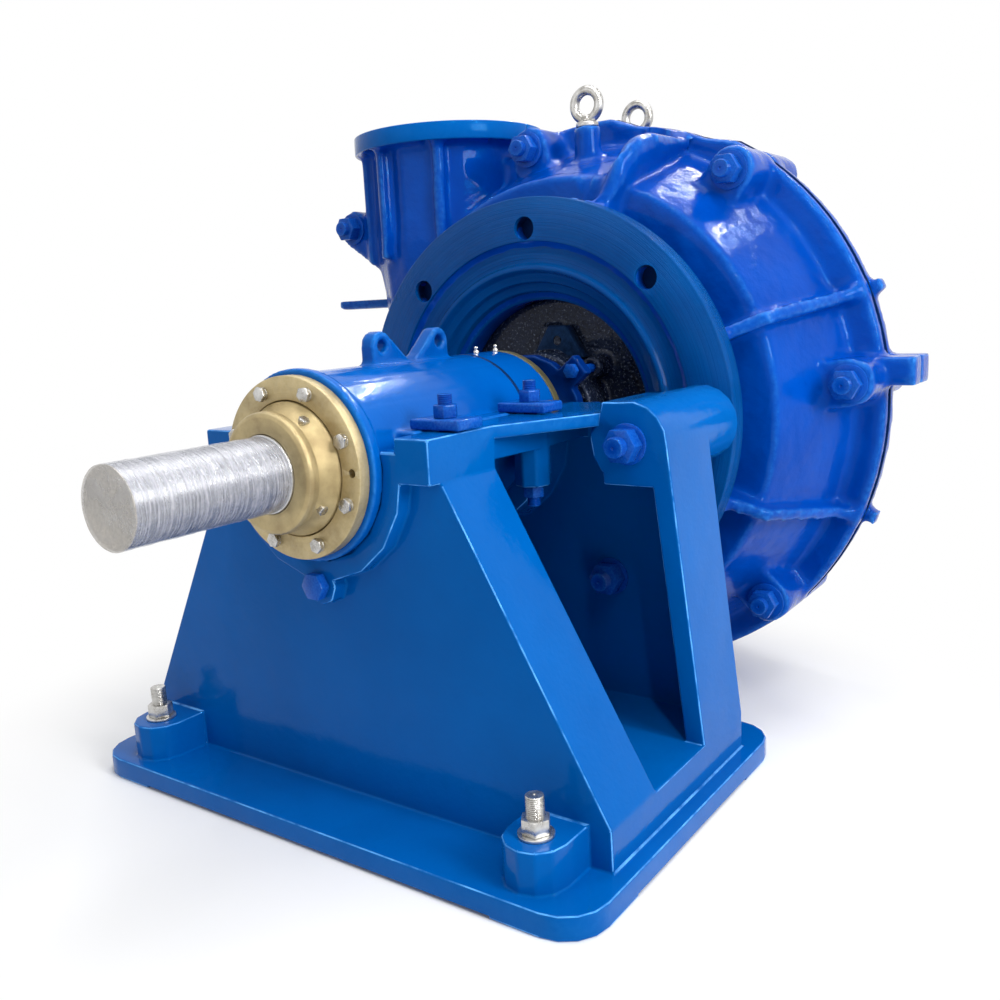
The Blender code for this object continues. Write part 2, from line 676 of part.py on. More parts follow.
base = weld(base_plate(), plinth())
base = weld(base, across_wall(LEG_TOP_HALF_WIDTH, PLINTH_HALF_WIDTH, -LEG_TOP_DROP,
                              WALL_FRONT, WALL_FRONT + WALL_THICKNESS))
base = weld(base, across_wall(LUG_OUTER - REAR_WALL_INSET, PLINTH_HALF_WIDTH - REAR_WALL_INSET,
                              RAIL_BOTTOM + SINK, WALL_REAR - WALL_THICKNESS, WALL_REAR - SINK / 2))
lower = polar(RING_BOLT_CIRCLE, LOWER_BOLT_ANGLE)
for side in (-1, 1):
    base = weld(base, leg(side, LEG_TOP_HALF_WIDTH, -LEG_TOP_DROP, FRONT_LEG_THICKNESS,
                          WALL_FRONT, WALL_FRONT + FRONT_LEG_LENGTH))
    base = weld(base, leg(side, LUG_OUTER, -SINK, REAR_LEG_THICKNESS, REAR_LEG_FRONT, WALL_REAR))
    low = (min(0.0, side * LEG_TOP_HALF_WIDTH), ADJUSTER_FACE, -LEG_TOP_DROP - SINK)
    high = (max(0.0, side * LEG_TOP_HALF_WIDTH), WALL_FRONT + FRONT_LEG_LENGTH, BLOCK_TOP)
    base = weld(base, block(low, high), rail(side), rail_web(side), casing_lug(side))
    base = weld(base, rod(LOWER_LUG_RADIUS, WALL_REAR - WALL_THICKNESS, RING_FACE - FIT,
                          (side * lower[0], lower[1])))
saddle = [(SADDLE_RADIUS, SINK)] + arc((0.0, 0.0), SADDLE_RADIUS, 0, -180, MIDDLE_STEPS // 2)
saddle += [(-SADDLE_RADIUS, SINK)]
base = weld(base, slab(saddle, 0, 2, ADJUSTER_FACE, ADJUSTER_FACE + SADDLE_LENGTH))
base = weld(base, slab(saddle, 0, 2, WALL_REAR - REAR_SADDLE_LENGTH, WALL_REAR))
base = weld(base, rod(ADJUSTER_BOSS_RADIUS, ADJUSTER_FACE, ADJUSTER_FACE + SADDLE_LENGTH,
                      (0.0, -ADJUSTER_DROP)))
for across, along in clamp_places:
    base = weld(base, rod(CLAMP_BOSS_RADIUS, -CLAMP_BOSS_BOTTOM, RAIL_BOTTOM + SINK, (across, along), 2))

# Room for the housing, its front rim, its lips and its adjusting lug
base = cut(base, rod(CRADLE_RADIUS, BASE_FRONT, BASE_REAR, steps=MIDDLE_STEPS))
base = cut(base, rod(RIM_CLEAR_RADIUS, BASE_FRONT, HOUSING_FRONT + HOUSING_RIM_WIDTH + SWEEP_GAP,
                     steps=MIDDLE_STEPS))
base = cut(base, block((-CRADLE_RADIUS, BASE_FRONT, 0.0), (CRADLE_RADIUS, BASE_REAR, BLOCK_TOP + OVERRUN)))
base = cut(base, block((-LIP_REACH - RUNNING_GAP, BASE_FRONT, LIP_TOP - LIP_THICKNESS - FIT),
                       (LIP_REACH + RUNNING_GAP, BASE_REAR, LIP_TOP + OVERRUN)))
for across, along in clamp_places:
    base = cut(base, rod(CLAMP_BOLT_RADIUS + FIT, -CLAMP_BOSS_BOTTOM - OVERRUN, BLOCK_TOP + OVERRUN,
                         (across, along), 2, PIN_STEPS))
for across, along in hold_down_places:
    base = cut(base, rod(HOLD_DOWN_HOLE_RADIUS, FLOOR - OVERRUN, PLINTH_LEVEL + OVERRUN, (across, along), 2,
                         PIN_STEPS))
ADJUSTER_BORE = open_radius(ADJUSTER_RADIUS + FIT, PIN_STEPS)
base = cut(base, rod(ADJUSTER_BORE, BASE_FRONT, WALL_REAR - WALL_THICKNESS - OVERRUN,
                     (0.0, -ADJUSTER_DROP), steps=PIN_STEPS))
for side in (-1, 1):
    for place, start in (((side * RING_BOLT_CIRCLE, 0.0), REAR_LEG_FRONT - OVERRUN),
                         ((side * lower[0], lower[1]), WALL_REAR - WALL_THICKNESS - OVERRUN)):
        base = cut(base, rod(FRAME_BOLT_HOLE_RADIUS, start, RING_FACE + OVERRUN, place, steps=PIN_STEPS))
hollow = block((-PLINTH_HALF_WIDTH + PLINTH_WALL, WALL_FRONT + PLINTH_WALL, FLOOR - OVERRUN),
               (PLINTH_HALF_WIDTH - PLINTH_WALL, WALL_REAR - PLINTH_WALL, PLINTH_LEVEL - PLINTH_SKIN))
base = cut(base, hollow)
add_piece("base_frame", base, BLUE)


# Bearing housing: a tube with two lifting ears, side lips and the adjusting lug
DRIVE_BEARING_START = HOUSING_FRONT + BEARING_SETBACK
DRIVE_BEARING_END = DRIVE_BEARING_START + RACE_WIDTH
PUMP_BEARING_END = HOUSING_REAR - BEARING_SETBACK
PUMP_BEARING_START = PUMP_BEARING_END - RACE_WIDTH
groove = HOUSING_FRONT + HOUSING_GROOVE_STATION
groove_radius = HOUSING_RADIUS - HOUSING_GROOVE_DEPTH
housing = turned([
    (RACE_OUTER_RADIUS + FIT, HOUSING_FRONT), (HOUSING_RIM_RADIUS, HOUSING_FRONT),
    (HOUSING_RIM_RADIUS, HOUSING_FRONT + HOUSING_RIM_WIDTH),
    (HOUSING_RADIUS, HOUSING_FRONT + HOUSING_RIM_WIDTH),
    (HOUSING_RADIUS, groove), (groove_radius, groove), (groove_radius, groove + HOUSING_GROOVE_WIDTH),
    (HOUSING_RADIUS, groove + HOUSING_GROOVE_WIDTH), (HOUSING_RADIUS, HOUSING_REAR),
    (PUMP_RACE_OUTER_RADIUS + FIT, HOUSING_REAR), (PUMP_RACE_OUTER_RADIUS + FIT, PUMP_BEARING_START - FIT),
    (HOUSING_BORE_RADIUS, PUMP_BEARING_START - FIT), (HOUSING_BORE_RADIUS, DRIVE_BEARING_END + FIT),
    (RACE_OUTER_RADIUS + FIT, DRIVE_BEARING_END + FIT),
], MIDDLE_STEPS)
for direction, foot in ((1, HOUSING_FRONT + EAR_STATION), (-1, HOUSING_FRONT + EAR_STATION + 2 * EAR_FOOT)):
    hole = foot + direction * EAR_HOLE_INSET
    crown = arc((0.0, EAR_HOLE_HEIGHT), EAR_HOLE_INSET, 180, 35, 5)
    outline = [(foot, EAR_FOOT_HEIGHT)] + [(hole + direction * point[0], point[1]) for point in crown]
    outline += [(foot + direction * (EAR_FOOT - SINK), EAR_FOOT_HEIGHT)]
    ear = slab(outline, 1, 2, -EAR_THICKNESS / 2, EAR_THICKNESS / 2)
    bore = arc((hole, EAR_HOLE_HEIGHT), EAR_HOLE_RADIUS, 0, 315, 7)
    ear = cut(ear, slab(bore, 1, 2, -EAR_THICKNESS, EAR_THICKNESS))
    housing = weld(housing, ear)
lip_start = HOUSING_FRONT + LIP_STATION
lip_root = (HOUSING_RADIUS + HOUSING_BORE_RADIUS) / 2
for side in (-1, 1):
    low = (min(side * lip_root, side * LIP_REACH), lip_start, LIP_TOP - LIP_THICKNESS)
    high = (max(side * lip_root, side * LIP_REACH), lip_start + LIP_LENGTH, LIP_TOP)
    housing = weld(housing, block(low, high))
lug_start = ADJUSTER_FACE + SADDLE_LENGTH + ADJUSTER_LUG_CLEAR
lug_foot = -ADJUSTER_DROP - ADJUSTER_LUG_BELOW
lug_root = -lip_root
adjusting_lug = block((-ADJUSTER_LUG_WIDTH / 2, lug_start, lug_foot),
                      (ADJUSTER_LUG_WIDTH / 2, lug_start + ADJUSTER_LUG_LENGTH, lug_root))
housing = weld(housing, adjusting_lug)
housing = cut(housing, rod(ADJUSTER_BORE, HOUSING_FRONT, HOUSING_REAR, (0.0, -ADJUSTER_DROP),
                           steps=PIN_STEPS))
add_piece("bearing_housing", housing, BLUE, bearing_carrier)

# Drive end cover: a plate with a spigot that holds the outer race
spigot_radius = RACE_OUTER_RADIUS
cover = turned([
    (DRIVE_COVER_BORE, DRIVE_COVER_FACE), (DRIVE_COVER_RADIUS, DRIVE_COVER_FACE),
    (DRIVE_COVER_RADIUS, HOUSING_FRONT - FIT), (spigot_radius, HOUSING_FRONT - FIT),
    (spigot_radius, HOUSING_FRONT + SPIGOT_LENGTH),
    (spigot_radius - SPIGOT_WALL, HOUSING_FRONT + SPIGOT_LENGTH),
    (spigot_radius - SPIGOT_WALL, HOUSING_FRONT),
], MIDDLE_STEPS)
add_piece("drive_end_cover", cover, GOLD, bearing_carrier)

# Pump end cover
spigot_radius = PUMP_RACE_OUTER_RADIUS
cover = turned([
    (PUMP_COVER_BORE, PUMP_COVER_FACE), (PUMP_COVER_RADIUS, PUMP_COVER_FACE),
    (PUMP_COVER_RADIUS, HOUSING_REAR + FIT), (spigot_radius, HOUSING_REAR + FIT),
    (spigot_radius, HOUSING_REAR - SPIGOT_LENGTH),
    (spigot_radius - SPIGOT_WALL, HOUSING_REAR - SPIGOT_LENGTH),
    (spigot_radius - SPIGOT_WALL, HOUSING_REAR),
], MIDDLE_STEPS)
add_piece("pump_end_cover", cover, GOLD, bearing_carrier)


def roller_ring(middle, start, end):
    """Rollers joined by the bars of their cage, as one closed ring with a beaded outline."""
    body = bmesh.new()
    loops = []
    for station in (start, end):
        for sign in (-1, 1):
            verts = []
            for roller in range(ROLLER_COUNT):
                for step in range(ROLLER_STEPS):
                    turn = (roller + step / ROLLER_STEPS) * math.tau / ROLLER_COUNT
                    half = ROLLER_RADIUS if step else ROLLER_WEB
                    radius = middle + sign * half
                    verts.append(body.verts.new((radius * math.cos(turn), station, radius * math.sin(turn))))
            loops.append(verts)
    count = len(loops[0])
    inner_near, outer_near, inner_far, outer_far = loops
    for index in range(count):
        following = (index + 1) % count
        for first, second in ((inner_near, outer_near), (outer_near, outer_far),
                              (outer_far, inner_far), (inner_far, inner_near)):
            body.faces.new((first[index], first[following], second[following], second[index]))
    bmesh.ops.recalc_face_normals(body, faces=body.faces)
    return body


def bearing(prefix, seat, outer, start, end, cage_carrier):
    """Outer race in the housing, inner race on the shaft and the rollers between them."""
    outer_track = open_radius(outer - RACE_THICKNESS, MIDDLE_STEPS)
    roller_reach = outer - RACE_THICKNESS - FIT
    inner_track = roller_reach - 2 * ROLLER_RADIUS - FIT
    race = turned([(outer_track, start), (outer, start), (outer, end), (outer_track, end)], MIDDLE_STEPS)
    add_piece(prefix + "_bearing_outer_race", race, STEEL, bearing_carrier)
    inner_outline = [(seat + FIT, start), (inner_track, start), (inner_track, end), (seat + FIT, end)]
    add_piece(prefix + "_bearing_inner_race", turned(inner_outline, MIDDLE_STEPS), STEEL, rotor_carrier)
    rollers = roller_ring(roller_reach - ROLLER_RADIUS, start + ROLLER_WEB, end - ROLLER_WEB)
    add_piece(prefix + "_bearing_rollers", rollers, STEEL, cage_carrier)


bearing("drive", BEARING_SEAT_RADIUS, RACE_OUTER_RADIUS, DRIVE_BEARING_START, DRIVE_BEARING_END,
        drive_cage_carrier)
bearing("pump", PUMP_BEARING_SEAT_RADIUS, PUMP_RACE_OUTER_RADIUS, PUMP_BEARING_START, PUMP_BEARING_END,
        pump_cage_carrier)

# Shaft: stepped down to the coupling end and to the impeller thread
IMPELLER_BACK = SPLIT + IMPELLER_CENTRE_AHEAD - IMPELLER_WIDTH / 2
SLEEVE_START = RING_FACE - SLEEVE_SETBACK
shaft_end = IMPELLER_BACK + IMPELLER_THREAD_LENGTH
sleeve_shoulder = SLEEVE_START - FIT
shaft = turned([
    (0.0, 0.0), (SHAFT_END_RADIUS - SHAFT_CHAMFER, 0.0), (SHAFT_END_RADIUS, SHAFT_CHAMFER),
    (SHAFT_END_RADIUS, SHAFT_OVERHANG - SHAFT_CHAMFER),
    (LABYRINTH_SEAT_RADIUS, SHAFT_OVERHANG - SHAFT_CHAMFER),
    (LABYRINTH_SEAT_RADIUS, DRIVE_BEARING_START - FIT),
    (BEARING_SEAT_RADIUS, DRIVE_BEARING_START - FIT), (BEARING_SEAT_RADIUS, DRIVE_BEARING_END + FIT),
    (SHAFT_BODY_RADIUS, DRIVE_BEARING_END + FIT), (SHAFT_BODY_RADIUS, PUMP_BEARING_START - FIT),
    (PUMP_BEARING_SEAT_RADIUS, PUMP_BEARING_START - FIT), (PUMP_BEARING_SEAT_RADIUS, sleeve_shoulder),
    (SLEEVE_SEAT_RADIUS, sleeve_shoulder), (SLEEVE_SEAT_RADIUS, IMPELLER_BACK),
    (IMPELLER_THREAD_RADIUS, IMPELLER_BACK), (IMPELLER_THREAD_RADIUS, shaft_end), (0.0, shaft_end),
], MIDDLE_STEPS)
key_end = KEY_SETBACK + KEY_LENGTH


def key_outline(grow):
    half = KEY_WIDTH / 2 + grow
    outline = arc((key_end - KEY_WIDTH / 2, 0.0), half, -90, 90, 4)
    return outline + arc((KEY_SETBACK + KEY_WIDTH / 2, 0.0), half, 90, 270, 4)


keyway_floor = SHAFT_END_RADIUS - KEY_DEPTH
shaft = cut(shaft, slab(key_outline(FIT), 1, 2, -keyway_floor, -SHAFT_END_RADIUS - OVERRUN))
add_piece("shaft", shaft, STEEL, rotor_carrier)
key = slab(key_outline(0.0), 1, 2, -keyway_floor - FIT, -keyway_floor - FIT - KEY_HEIGHT)
add_piece("drive_key", key, STEEL, rotor_carrier)

# Labyrinths: rotating seal discs with grease grooves, one at each end of the housing
disc_radius = flat_radius(DRIVE_COVER_BORE, MIDDLE_STEPS) - RUNNING_GAP
disc_start = DRIVE_COVER_FACE - SINK
disc_end = disc_start + LABYRINTH_DISC_LENGTH
groove_floor = disc_radius - LABYRINTH_GROOVE_DEPTH
outline = [(LABYRINTH_SEAT_RADIUS + FIT, SHAFT_OVERHANG),
           (LABYRINTH_BOSS_RADIUS - LABYRINTH_TAPER, SHAFT_OVERHANG),
           (LABYRINTH_BOSS_RADIUS, SHAFT_OVERHANG + LABYRINTH_TAPER), (LABYRINTH_BOSS_RADIUS, disc_start)]
outline += [(disc_radius, disc_start)]
near = disc_start + 2 * LABYRINTH_GROOVE_WIDTH
outline += [(disc_radius, near), (groove_floor, near), (groove_floor, near + LABYRINTH_GROOVE_WIDTH),
            (disc_radius, near + LABYRINTH_GROOVE_WIDTH)]
outline += [(disc_radius, disc_end), (LABYRINTH_SEAT_RADIUS + FIT, disc_end)]
add_piece("drive_labyrinth", turned(outline, MIDDLE_STEPS), GOLD, rotor_carrier)

disc_radius = PUMP_COVER_BORE - RUNNING_GAP
disc_start = HOUSING_REAR - SPIGOT_LENGTH
disc_end = disc_start + PUMP_LABYRINTH_LENGTH
flinger = PUMP_COVER_FACE + SWEEP_GAP
outline = [(PUMP_BEARING_SEAT_RADIUS + FIT, disc_start), (PUMP_COVER_BORE - SPIGOT_WALL, disc_start),
           (PUMP_COVER_BORE - SPIGOT_WALL, disc_start + LABYRINTH_GROOVE_WIDTH),
           (disc_radius - SPIGOT_WALL, flinger), (disc_radius, flinger), (disc_radius, disc_end),
           (PUMP_BEARING_SEAT_RADIUS + FIT, disc_end)]
add_piece("pump_labyrinth", turned(outline, MIDDLE_STEPS), GOLD, rotor_carrier)

# Shaft sleeve under the packing
sleeve = turned([(SLEEVE_SEAT_RADIUS + FIT, SLEEVE_START), (SLEEVE_RADIUS, SLEEVE_START),
                 (SLEEVE_RADIUS, IMPELLER_BACK - FIT), (SLEEVE_SEAT_RADIUS + FIT, IMPELLER_BACK - FIT)],
                MIDDLE_STEPS)
add_piece("shaft_sleeve", sleeve, CHROME_IRON, rotor_carrier)

# Adjusting screw: hexagon head, shank and a collar that keeps it in the cradle boss
head_start = ADJUSTER_FACE - FIT - ADJUSTER_HEAD_HEIGHT
screw_end = lug_start + ADJUSTER_LUG_LENGTH + ADJUSTER_TAIL
adjuster_place = (0.0, -ADJUSTER_DROP)
screw = hexagon(ADJUSTER_HEAD_FLATS, head_start, ADJUSTER_FACE - FIT, adjuster_place)
screw = weld(screw, rod(ADJUSTER_RADIUS, ADJUSTER_FACE - FIT - SINK, screw_end, adjuster_place,
                        steps=PIN_STEPS))
collar_start = ADJUSTER_FACE + SADDLE_LENGTH + FIT
collar_end = collar_start + ADJUSTER_COLLAR_LENGTH - SWEEP_GAP
screw = weld(screw, rod(ADJUSTER_COLLAR_RADIUS, collar_start, collar_end, adjuster_place))
add_piece("adjusting_screw", screw, BLUE, adjuster_carrier)

# Clamp washers and the bolts that press them on the housing lips
washer_bottom = LIP_TOP + FIT
washer_top = washer_bottom + CLAMP_WASHER_THICKNESS
for index, (across, along) in enumerate(clamp_places):
    low = (across - CLAMP_WASHER_LENGTH / 2, along - CLAMP_WASHER_WIDTH / 2, washer_bottom)
    high = (across + CLAMP_WASHER_LENGTH / 2, along + CLAMP_WASHER_WIDTH / 2, washer_top)
    washer = block(low, high)
    bmesh.ops.bevel(washer, geom=washer.edges[:], offset=CLAMP_WASHER_BEVEL, segments=1, profile=0.5,
                    affect="EDGES", material=-1)
    washer = cut(washer, rod(CLAMP_BOLT_RADIUS + FIT, washer_bottom - OVERRUN, washer_top + OVERRUN,
                             (across, along), 2, PIN_STEPS))
    add_piece("clamp_washer_%d" % (index + 1), washer, BLUE)
    low_face = -CLAMP_BOSS_BOTTOM - FIT
    top_face = washer_top + FIT
    stations = (low_face - CLAMP_NUT_HEIGHT - CLAMP_BOLT_TAIL, low_face - CLAMP_NUT_HEIGHT, low_face,
                top_face, top_face + CLAMP_NUT_HEIGHT, top_face + CLAMP_NUT_HEIGHT + CLAMP_BOLT_TAIL)
    add_piece("clamp_bolt_%d" % (index + 1),
              bolt(CLAMP_BOLT_RADIUS, CLAMP_NUT_FLATS, stations, (across, along), 2), BLUE)

# Hold-down studs
for index, (across, along) in enumerate(hold_down_places):
    nut_bottom = PLINTH_LEVEL + FIT + HOLD_DOWN_WASHER_THICKNESS
    nut_top = nut_bottom + HOLD_DOWN_NUT_HEIGHT
    washer = rod(HOLD_DOWN_WASHER_RADIUS, PLINTH_LEVEL + FIT, nut_bottom, (across, along), 2)
    stud = bolt(HOLD_DOWN_RADIUS, HOLD_DOWN_FLATS,
                (FLOOR, nut_bottom - FIT, nut_top, nut_top + HOLD_DOWN_TAIL), (across, along), 2)
    add_piece("hold_down_bolt_%d" % (index + 1), weld(stud, washer), ZINC)

# Frame bolts: studs through the pedestal lugs and the casing ring
lower_seat = WALL_REAR - WALL_THICKNESS
frame_bolts = [(-RING_BOLT_CIRCLE, 0.0, REAR_LEG_FRONT), (RING_BOLT_CIRCLE, 0.0, REAR_LEG_FRONT),
               (-lower[0], lower[1], lower_seat), (lower[0], lower[1], lower_seat)]
for index, (across, height, seat) in enumerate(frame_bolts):
    place = (across, height)
    far_seat = RING_FACE + RING_THICKNESS + FIT
    near_washer = seat - FIT - FRAME_WASHER_THICKNESS
    near_nut = near_washer - FRAME_NUT_HEIGHT
    far_nut = far_seat + FRAME_NUT_HEIGHT
    stud = bolt(FRAME_BOLT_RADIUS, FRAME_NUT_FLATS, (near_nut - FRAME_BOLT_TAIL, near_nut, near_washer + FIT,
                                                     far_seat, far_nut, far_nut + FRAME_BOLT_TAIL / 2), place)
    washer = rod(FRAME_WASHER_RADIUS, near_washer, seat - FIT, place)
    add_piece("frame_bolt_%d" % (index + 1), weld(stud, washer), BLUE)


# Casing: two halves that meet on the split plane, each with half of the discharge nozzle
SHELL_START = SPLIT - SHELL_DEPTH
NOZZLE_AXIS = (-NOZZLE_OFFSET, SPLIT)
NOZZLE_CAVITY_RADIUS = NOZZLE_BORE_RADIUS + NOZZLE_LINER_WALL + FIT
CAVITY_RADIUS = SHELL_RADIUS - SHELL_WALL
NOZZLE_UNDERSIDE = NOZZLE_TOP - NOZZLE_FLANGE_THICKNESS
casing_bolt_places = [polar(CASING_BOLT_CIRCLE, angle) for angle in CASING_BOLT_ANGLES]
casing_bolt_places.append((-NOZZLE_OFFSET - NOZZLE_BOLT_SETOUT, NOZZLE_TOP - NOZZLE_BOLT_DROP))
EYE_FRONT = SPLIT - EYE_SPACING
EYE_REAR = SPLIT + EYE_SPACING


def half_space(direction):
    """Block that holds everything on the far side of the split plane, used to trim a half."""
    reach = NOZZLE_TOP + FIN_REACH
    far = SPLIT - direction * (FRAME_PLATE_DEPTH + COVER_PLATE_DEPTH)
    near = SPLIT + direction * FIT / 2
    return block((-reach, min(near, far), -reach), (reach, max(near, far), reach))


def discharge_solid(grow, top):
    """Closed duct that turns the spiral's last stretch into the round discharge bore."""
    body = bmesh.new()
    outer_x = -VOLUTE_END_RADIUS - grow
    inner_x = -VOLUTE_START_RADIUS + grow
    half = VOLUTE_HALF_WIDTH + grow
    radius = NOZZLE_BORE_RADIUS + grow
    loops = []
    for height_share, blend_share in DUCT_SHARES:
        height = NOZZLE_TOP * height_share if height_share < 1.0 else top
        loop = []
        for step in range(DUCT_STEPS):
            angle = math.tau * step / DUCT_STEPS
            circle = (-NOZZLE_OFFSET + radius * math.cos(angle), radius * math.sin(angle))
            mouth = ((outer_x + inner_x) / 2 + (inner_x - outer_x) / 2 * math.cos(angle),
                     half * math.sin(angle))
            x = mouth[0] + (circle[0] - mouth[0]) * blend_share
            y = mouth[1] + (circle[1] - mouth[1]) * blend_share
            loop.append(body.verts.new((x, SPLIT + y, height)))
        loops.append(loop)
    body.faces.new(loops[0])
    body.faces.new(loops[-1])
    for lower, upper in zip(loops, loops[1:]):
        for index in range(DUCT_STEPS):
            following = (index + 1) % DUCT_STEPS
            body.faces.new((lower[index], lower[following], upper[following]))
            body.faces.new((lower[index], upper[following], upper[index]))
    bmesh.ops.recalc_face_normals(body, faces=body.faces)
    return body


def nozzle(direction):
    """Discharge neck with its flange and four upright ribs."""
    neck = discharge_solid(NOZZLE_RADIUS - NOZZLE_BORE_RADIUS, NOZZLE_TOP - SINK)
    neck = weld(neck, rod(NOZZLE_FLANGE_RADIUS, NOZZLE_UNDERSIDE, NOZZLE_TOP, NOZZLE_AXIS, 2, MIDDLE_STEPS))
    for angle in NOZZLE_RIB_ANGLES:
        turn = Matrix.Rotation(math.radians(-direction * angle), 4, "Z")
        reach = NOZZLE_RADIUS + NOZZLE_RIB_PROUD
        rib = block((NOZZLE_CAVITY_RADIUS, -NOZZLE_RIB_THICKNESS / 2, NOZZLE_RIB_START),
                    (reach, NOZZLE_RIB_THICKNESS / 2, NOZZLE_UNDERSIDE + SINK))
        bmesh.ops.transform(rib, matrix=turn, verts=rib.verts)
        neck = weld(neck, moved(rib, (NOZZLE_AXIS[0], NOZZLE_AXIS[1], 0.0)))
    return neck


def bolt_boss(place, direction):
    """Boss for a casing bolt: round outside, and square where it runs into the shell."""
    far = SPLIT + direction * CASING_BOSS_DEPTH
    near = SPLIT - direction * SINK / 2
    reach = math.hypot(place[0], place[1])
    outline = arc((reach, 0.0), CASING_BOSS_RADIUS, -90, 90, BOSS_STEPS)
    outline += [(CAVITY_SHOULDER_RADIUS, CASING_BOSS_RADIUS), (CAVITY_SHOULDER_RADIUS, -CASING_BOSS_RADIUS)]
    boss = slab(outline, 0, 2, min(near, far), max(near, far))
    turn = Matrix.Rotation(-math.atan2(place[1], place[0]), 3, "Y")
    bmesh.ops.rotate(boss, cent=(0.0, 0.0, 0.0), matrix=turn, verts=boss.verts)
    return boss


def rib(angle, thickness, outline):
    """Radial rib; the outline is pairs of radius and station."""
    body = slab(outline, 0, 1, -thickness / 2, thickness / 2)
    turn = Matrix.Rotation(-math.radians(angle), 3, "Y")
    bmesh.ops.rotate(body, cent=(0.0, 0.0, 0.0), matrix=turn, verts=body.verts)
    return body


def casing_half(shell, direction, rib_outline, cavity):
    """Shell of one half with everything that is cast on it, then hollowed and drilled."""
    body = weld(shell, nozzle(direction))
    for place in casing_bolt_places:
        body = weld(body, bolt_boss(place, direction))
    for angle in RIB_ANGLES:
        body = weld(body, rib(angle, RIB_THICKNESS, rib_outline))
    body = weld(body, rib(WIDE_RIB_ANGLE, WIDE_RIB_THICKNESS, rib_outline))
    far = SPLIT + direction * JACK_LUG_DEPTH
    near = SPLIT - direction * SINK / 3
    lug = block((CASING_BOLT_CIRCLE, min(near, far), JACK_LUG_HEIGHT - JACK_LUG_HALF_HEIGHT),
                (JACK_LUG_REACH, max(near, far), JACK_LUG_HEIGHT + JACK_LUG_HALF_HEIGHT))
    far = SPLIT + direction * FIN_DEPTH
    fin = block((-FIN_REACH, min(near, far), FIN_HEIGHT - FIN_THICKNESS / 2),
                (-SHELL_RADIUS + SHELL_WALL, max(near, far), FIN_HEIGHT + FIN_THICKNESS / 2))
    eye = EYE_FRONT if direction < 0 else EYE_REAR
    eye_boss = rod(EYE_BOSS_RADIUS, CAVITY_SHOULDER_RADIUS, EYE_BOSS_TOP, (EYE_OFFSET_X, eye), 2)
    body = weld(body, lug, fin, eye_boss)
    body = cut(body, cavity)
    body = cut(body, discharge_solid(NOZZLE_LINER_WALL + FIT, NOZZLE_TOP + OVERRUN))
    body = cut(body, half_space(direction))
    start = SPLIT - FRAME_PLATE_DEPTH
    end = SPLIT + COVER_PLATE_DEPTH
    seat = SPLIT + direction * (CASING_BOSS_DEPTH + FIT / 2)
    open_end = seat + direction * (CASING_NUT_HEIGHT + CASING_BOLT_TAIL + OVERRUN)
    for place in casing_bolt_places:
        room = rod(CASING_WASHER_RADIUS + SWEEP_GAP, min(seat, open_end), max(seat, open_end), place)
        body = cut(body, rod(CASING_HOLE_RADIUS, start, end, place, steps=PIN_STEPS), room)
    body = cut(body, rod(JACK_LUG_HOLE_RADIUS, start, end, ((JACK_LUG_REACH + RIM_RADIUS) / 2 + SINK,
                                                          JACK_LUG_HEIGHT), steps=PIN_STEPS))
    body = cut(body, rod(EYE_SHANK_RADIUS + FIT, EYE_BOSS_TOP - EYE_SHANK_LENGTH - FIT, EYE_BOSS_TOP + OVERRUN,
                         (EYE_OFFSET_X, eye), 2, PIN_STEPS))
    for index in range(NOZZLE_HOLE_COUNT):
        x, y = polar(NOZZLE_BOLT_CIRCLE, (index + 0.5) * 360 / NOZZLE_HOLE_COUNT)
        if y * direction > 0:
            body = cut(body, rod(NOZZLE_HOLE_RADIUS, NOZZLE_UNDERSIDE - OVERRUN, NOZZLE_TOP + OVERRUN,
                                 (NOZZLE_AXIS[0] + x, NOZZLE_AXIS[1] + y), 2, PIN_STEPS))
    return body


# Frame plate
bore_start = RING_FACE + RING_BORE_START
bore_end = bore_start + RING_BORE_LENGTH
RING_BACK = RING_FACE + RING_THICKNESS
shell = turned([
    (0.0, RING_FACE), (RING_RADIUS, RING_FACE), (RING_RADIUS, RING_FACE + RING_THICKNESS),
    (NECK_RING_RADIUS, RING_FACE + RING_THICKNESS), (NECK_RING_RADIUS, RING_BACK + NECK_RING_GAP),
    (SHOULDER_RADIUS, RING_FACE + SHOULDER_STATION), (SHELL_RADIUS, SHELL_START),
    (SHELL_RADIUS, SPLIT - RIM_THICKNESS), (RIM_RADIUS, SPLIT - RIM_THICKNESS),
    (RIM_RADIUS, SPLIT + SINK), (0.0, SPLIT + SINK),
], LARGE_STEPS)
rib_outline = [(RING_INNER_RADIUS, RING_BACK - SINK), (RING_RADIUS - RIB_PROUD, RING_BACK - SINK),
               (SHOULDER_RADIUS + RIB_PROUD, RING_FACE + SHOULDER_STATION - RIB_PROUD),
               (SHELL_RADIUS + RIB_PROUD, SHELL_START - RIB_PROUD),
               (RIM_RADIUS - SINK, SPLIT - RIM_THICKNESS), (RIM_RADIUS - SINK, SPLIT),
               (RING_INNER_RADIUS, SPLIT)]
LINER_SEAT = bore_end + STUFFING_COLLAR_THICKNESS
cavity = turned([
    (0.0, bore_end), (STUFFING_COLLAR_RADIUS + FIT, bore_end),
    (STUFFING_COLLAR_RADIUS + FIT, LINER_SEAT), (CAVITY_SHOULDER_RADIUS, LINER_SEAT),
    (CAVITY_RADIUS, SHELL_START), (CAVITY_RADIUS, SPLIT + OVERRUN), (0.0, SPLIT + OVERRUN),
], LARGE_STEPS)
plate = casing_half(shell, -1, rib_outline, cavity)
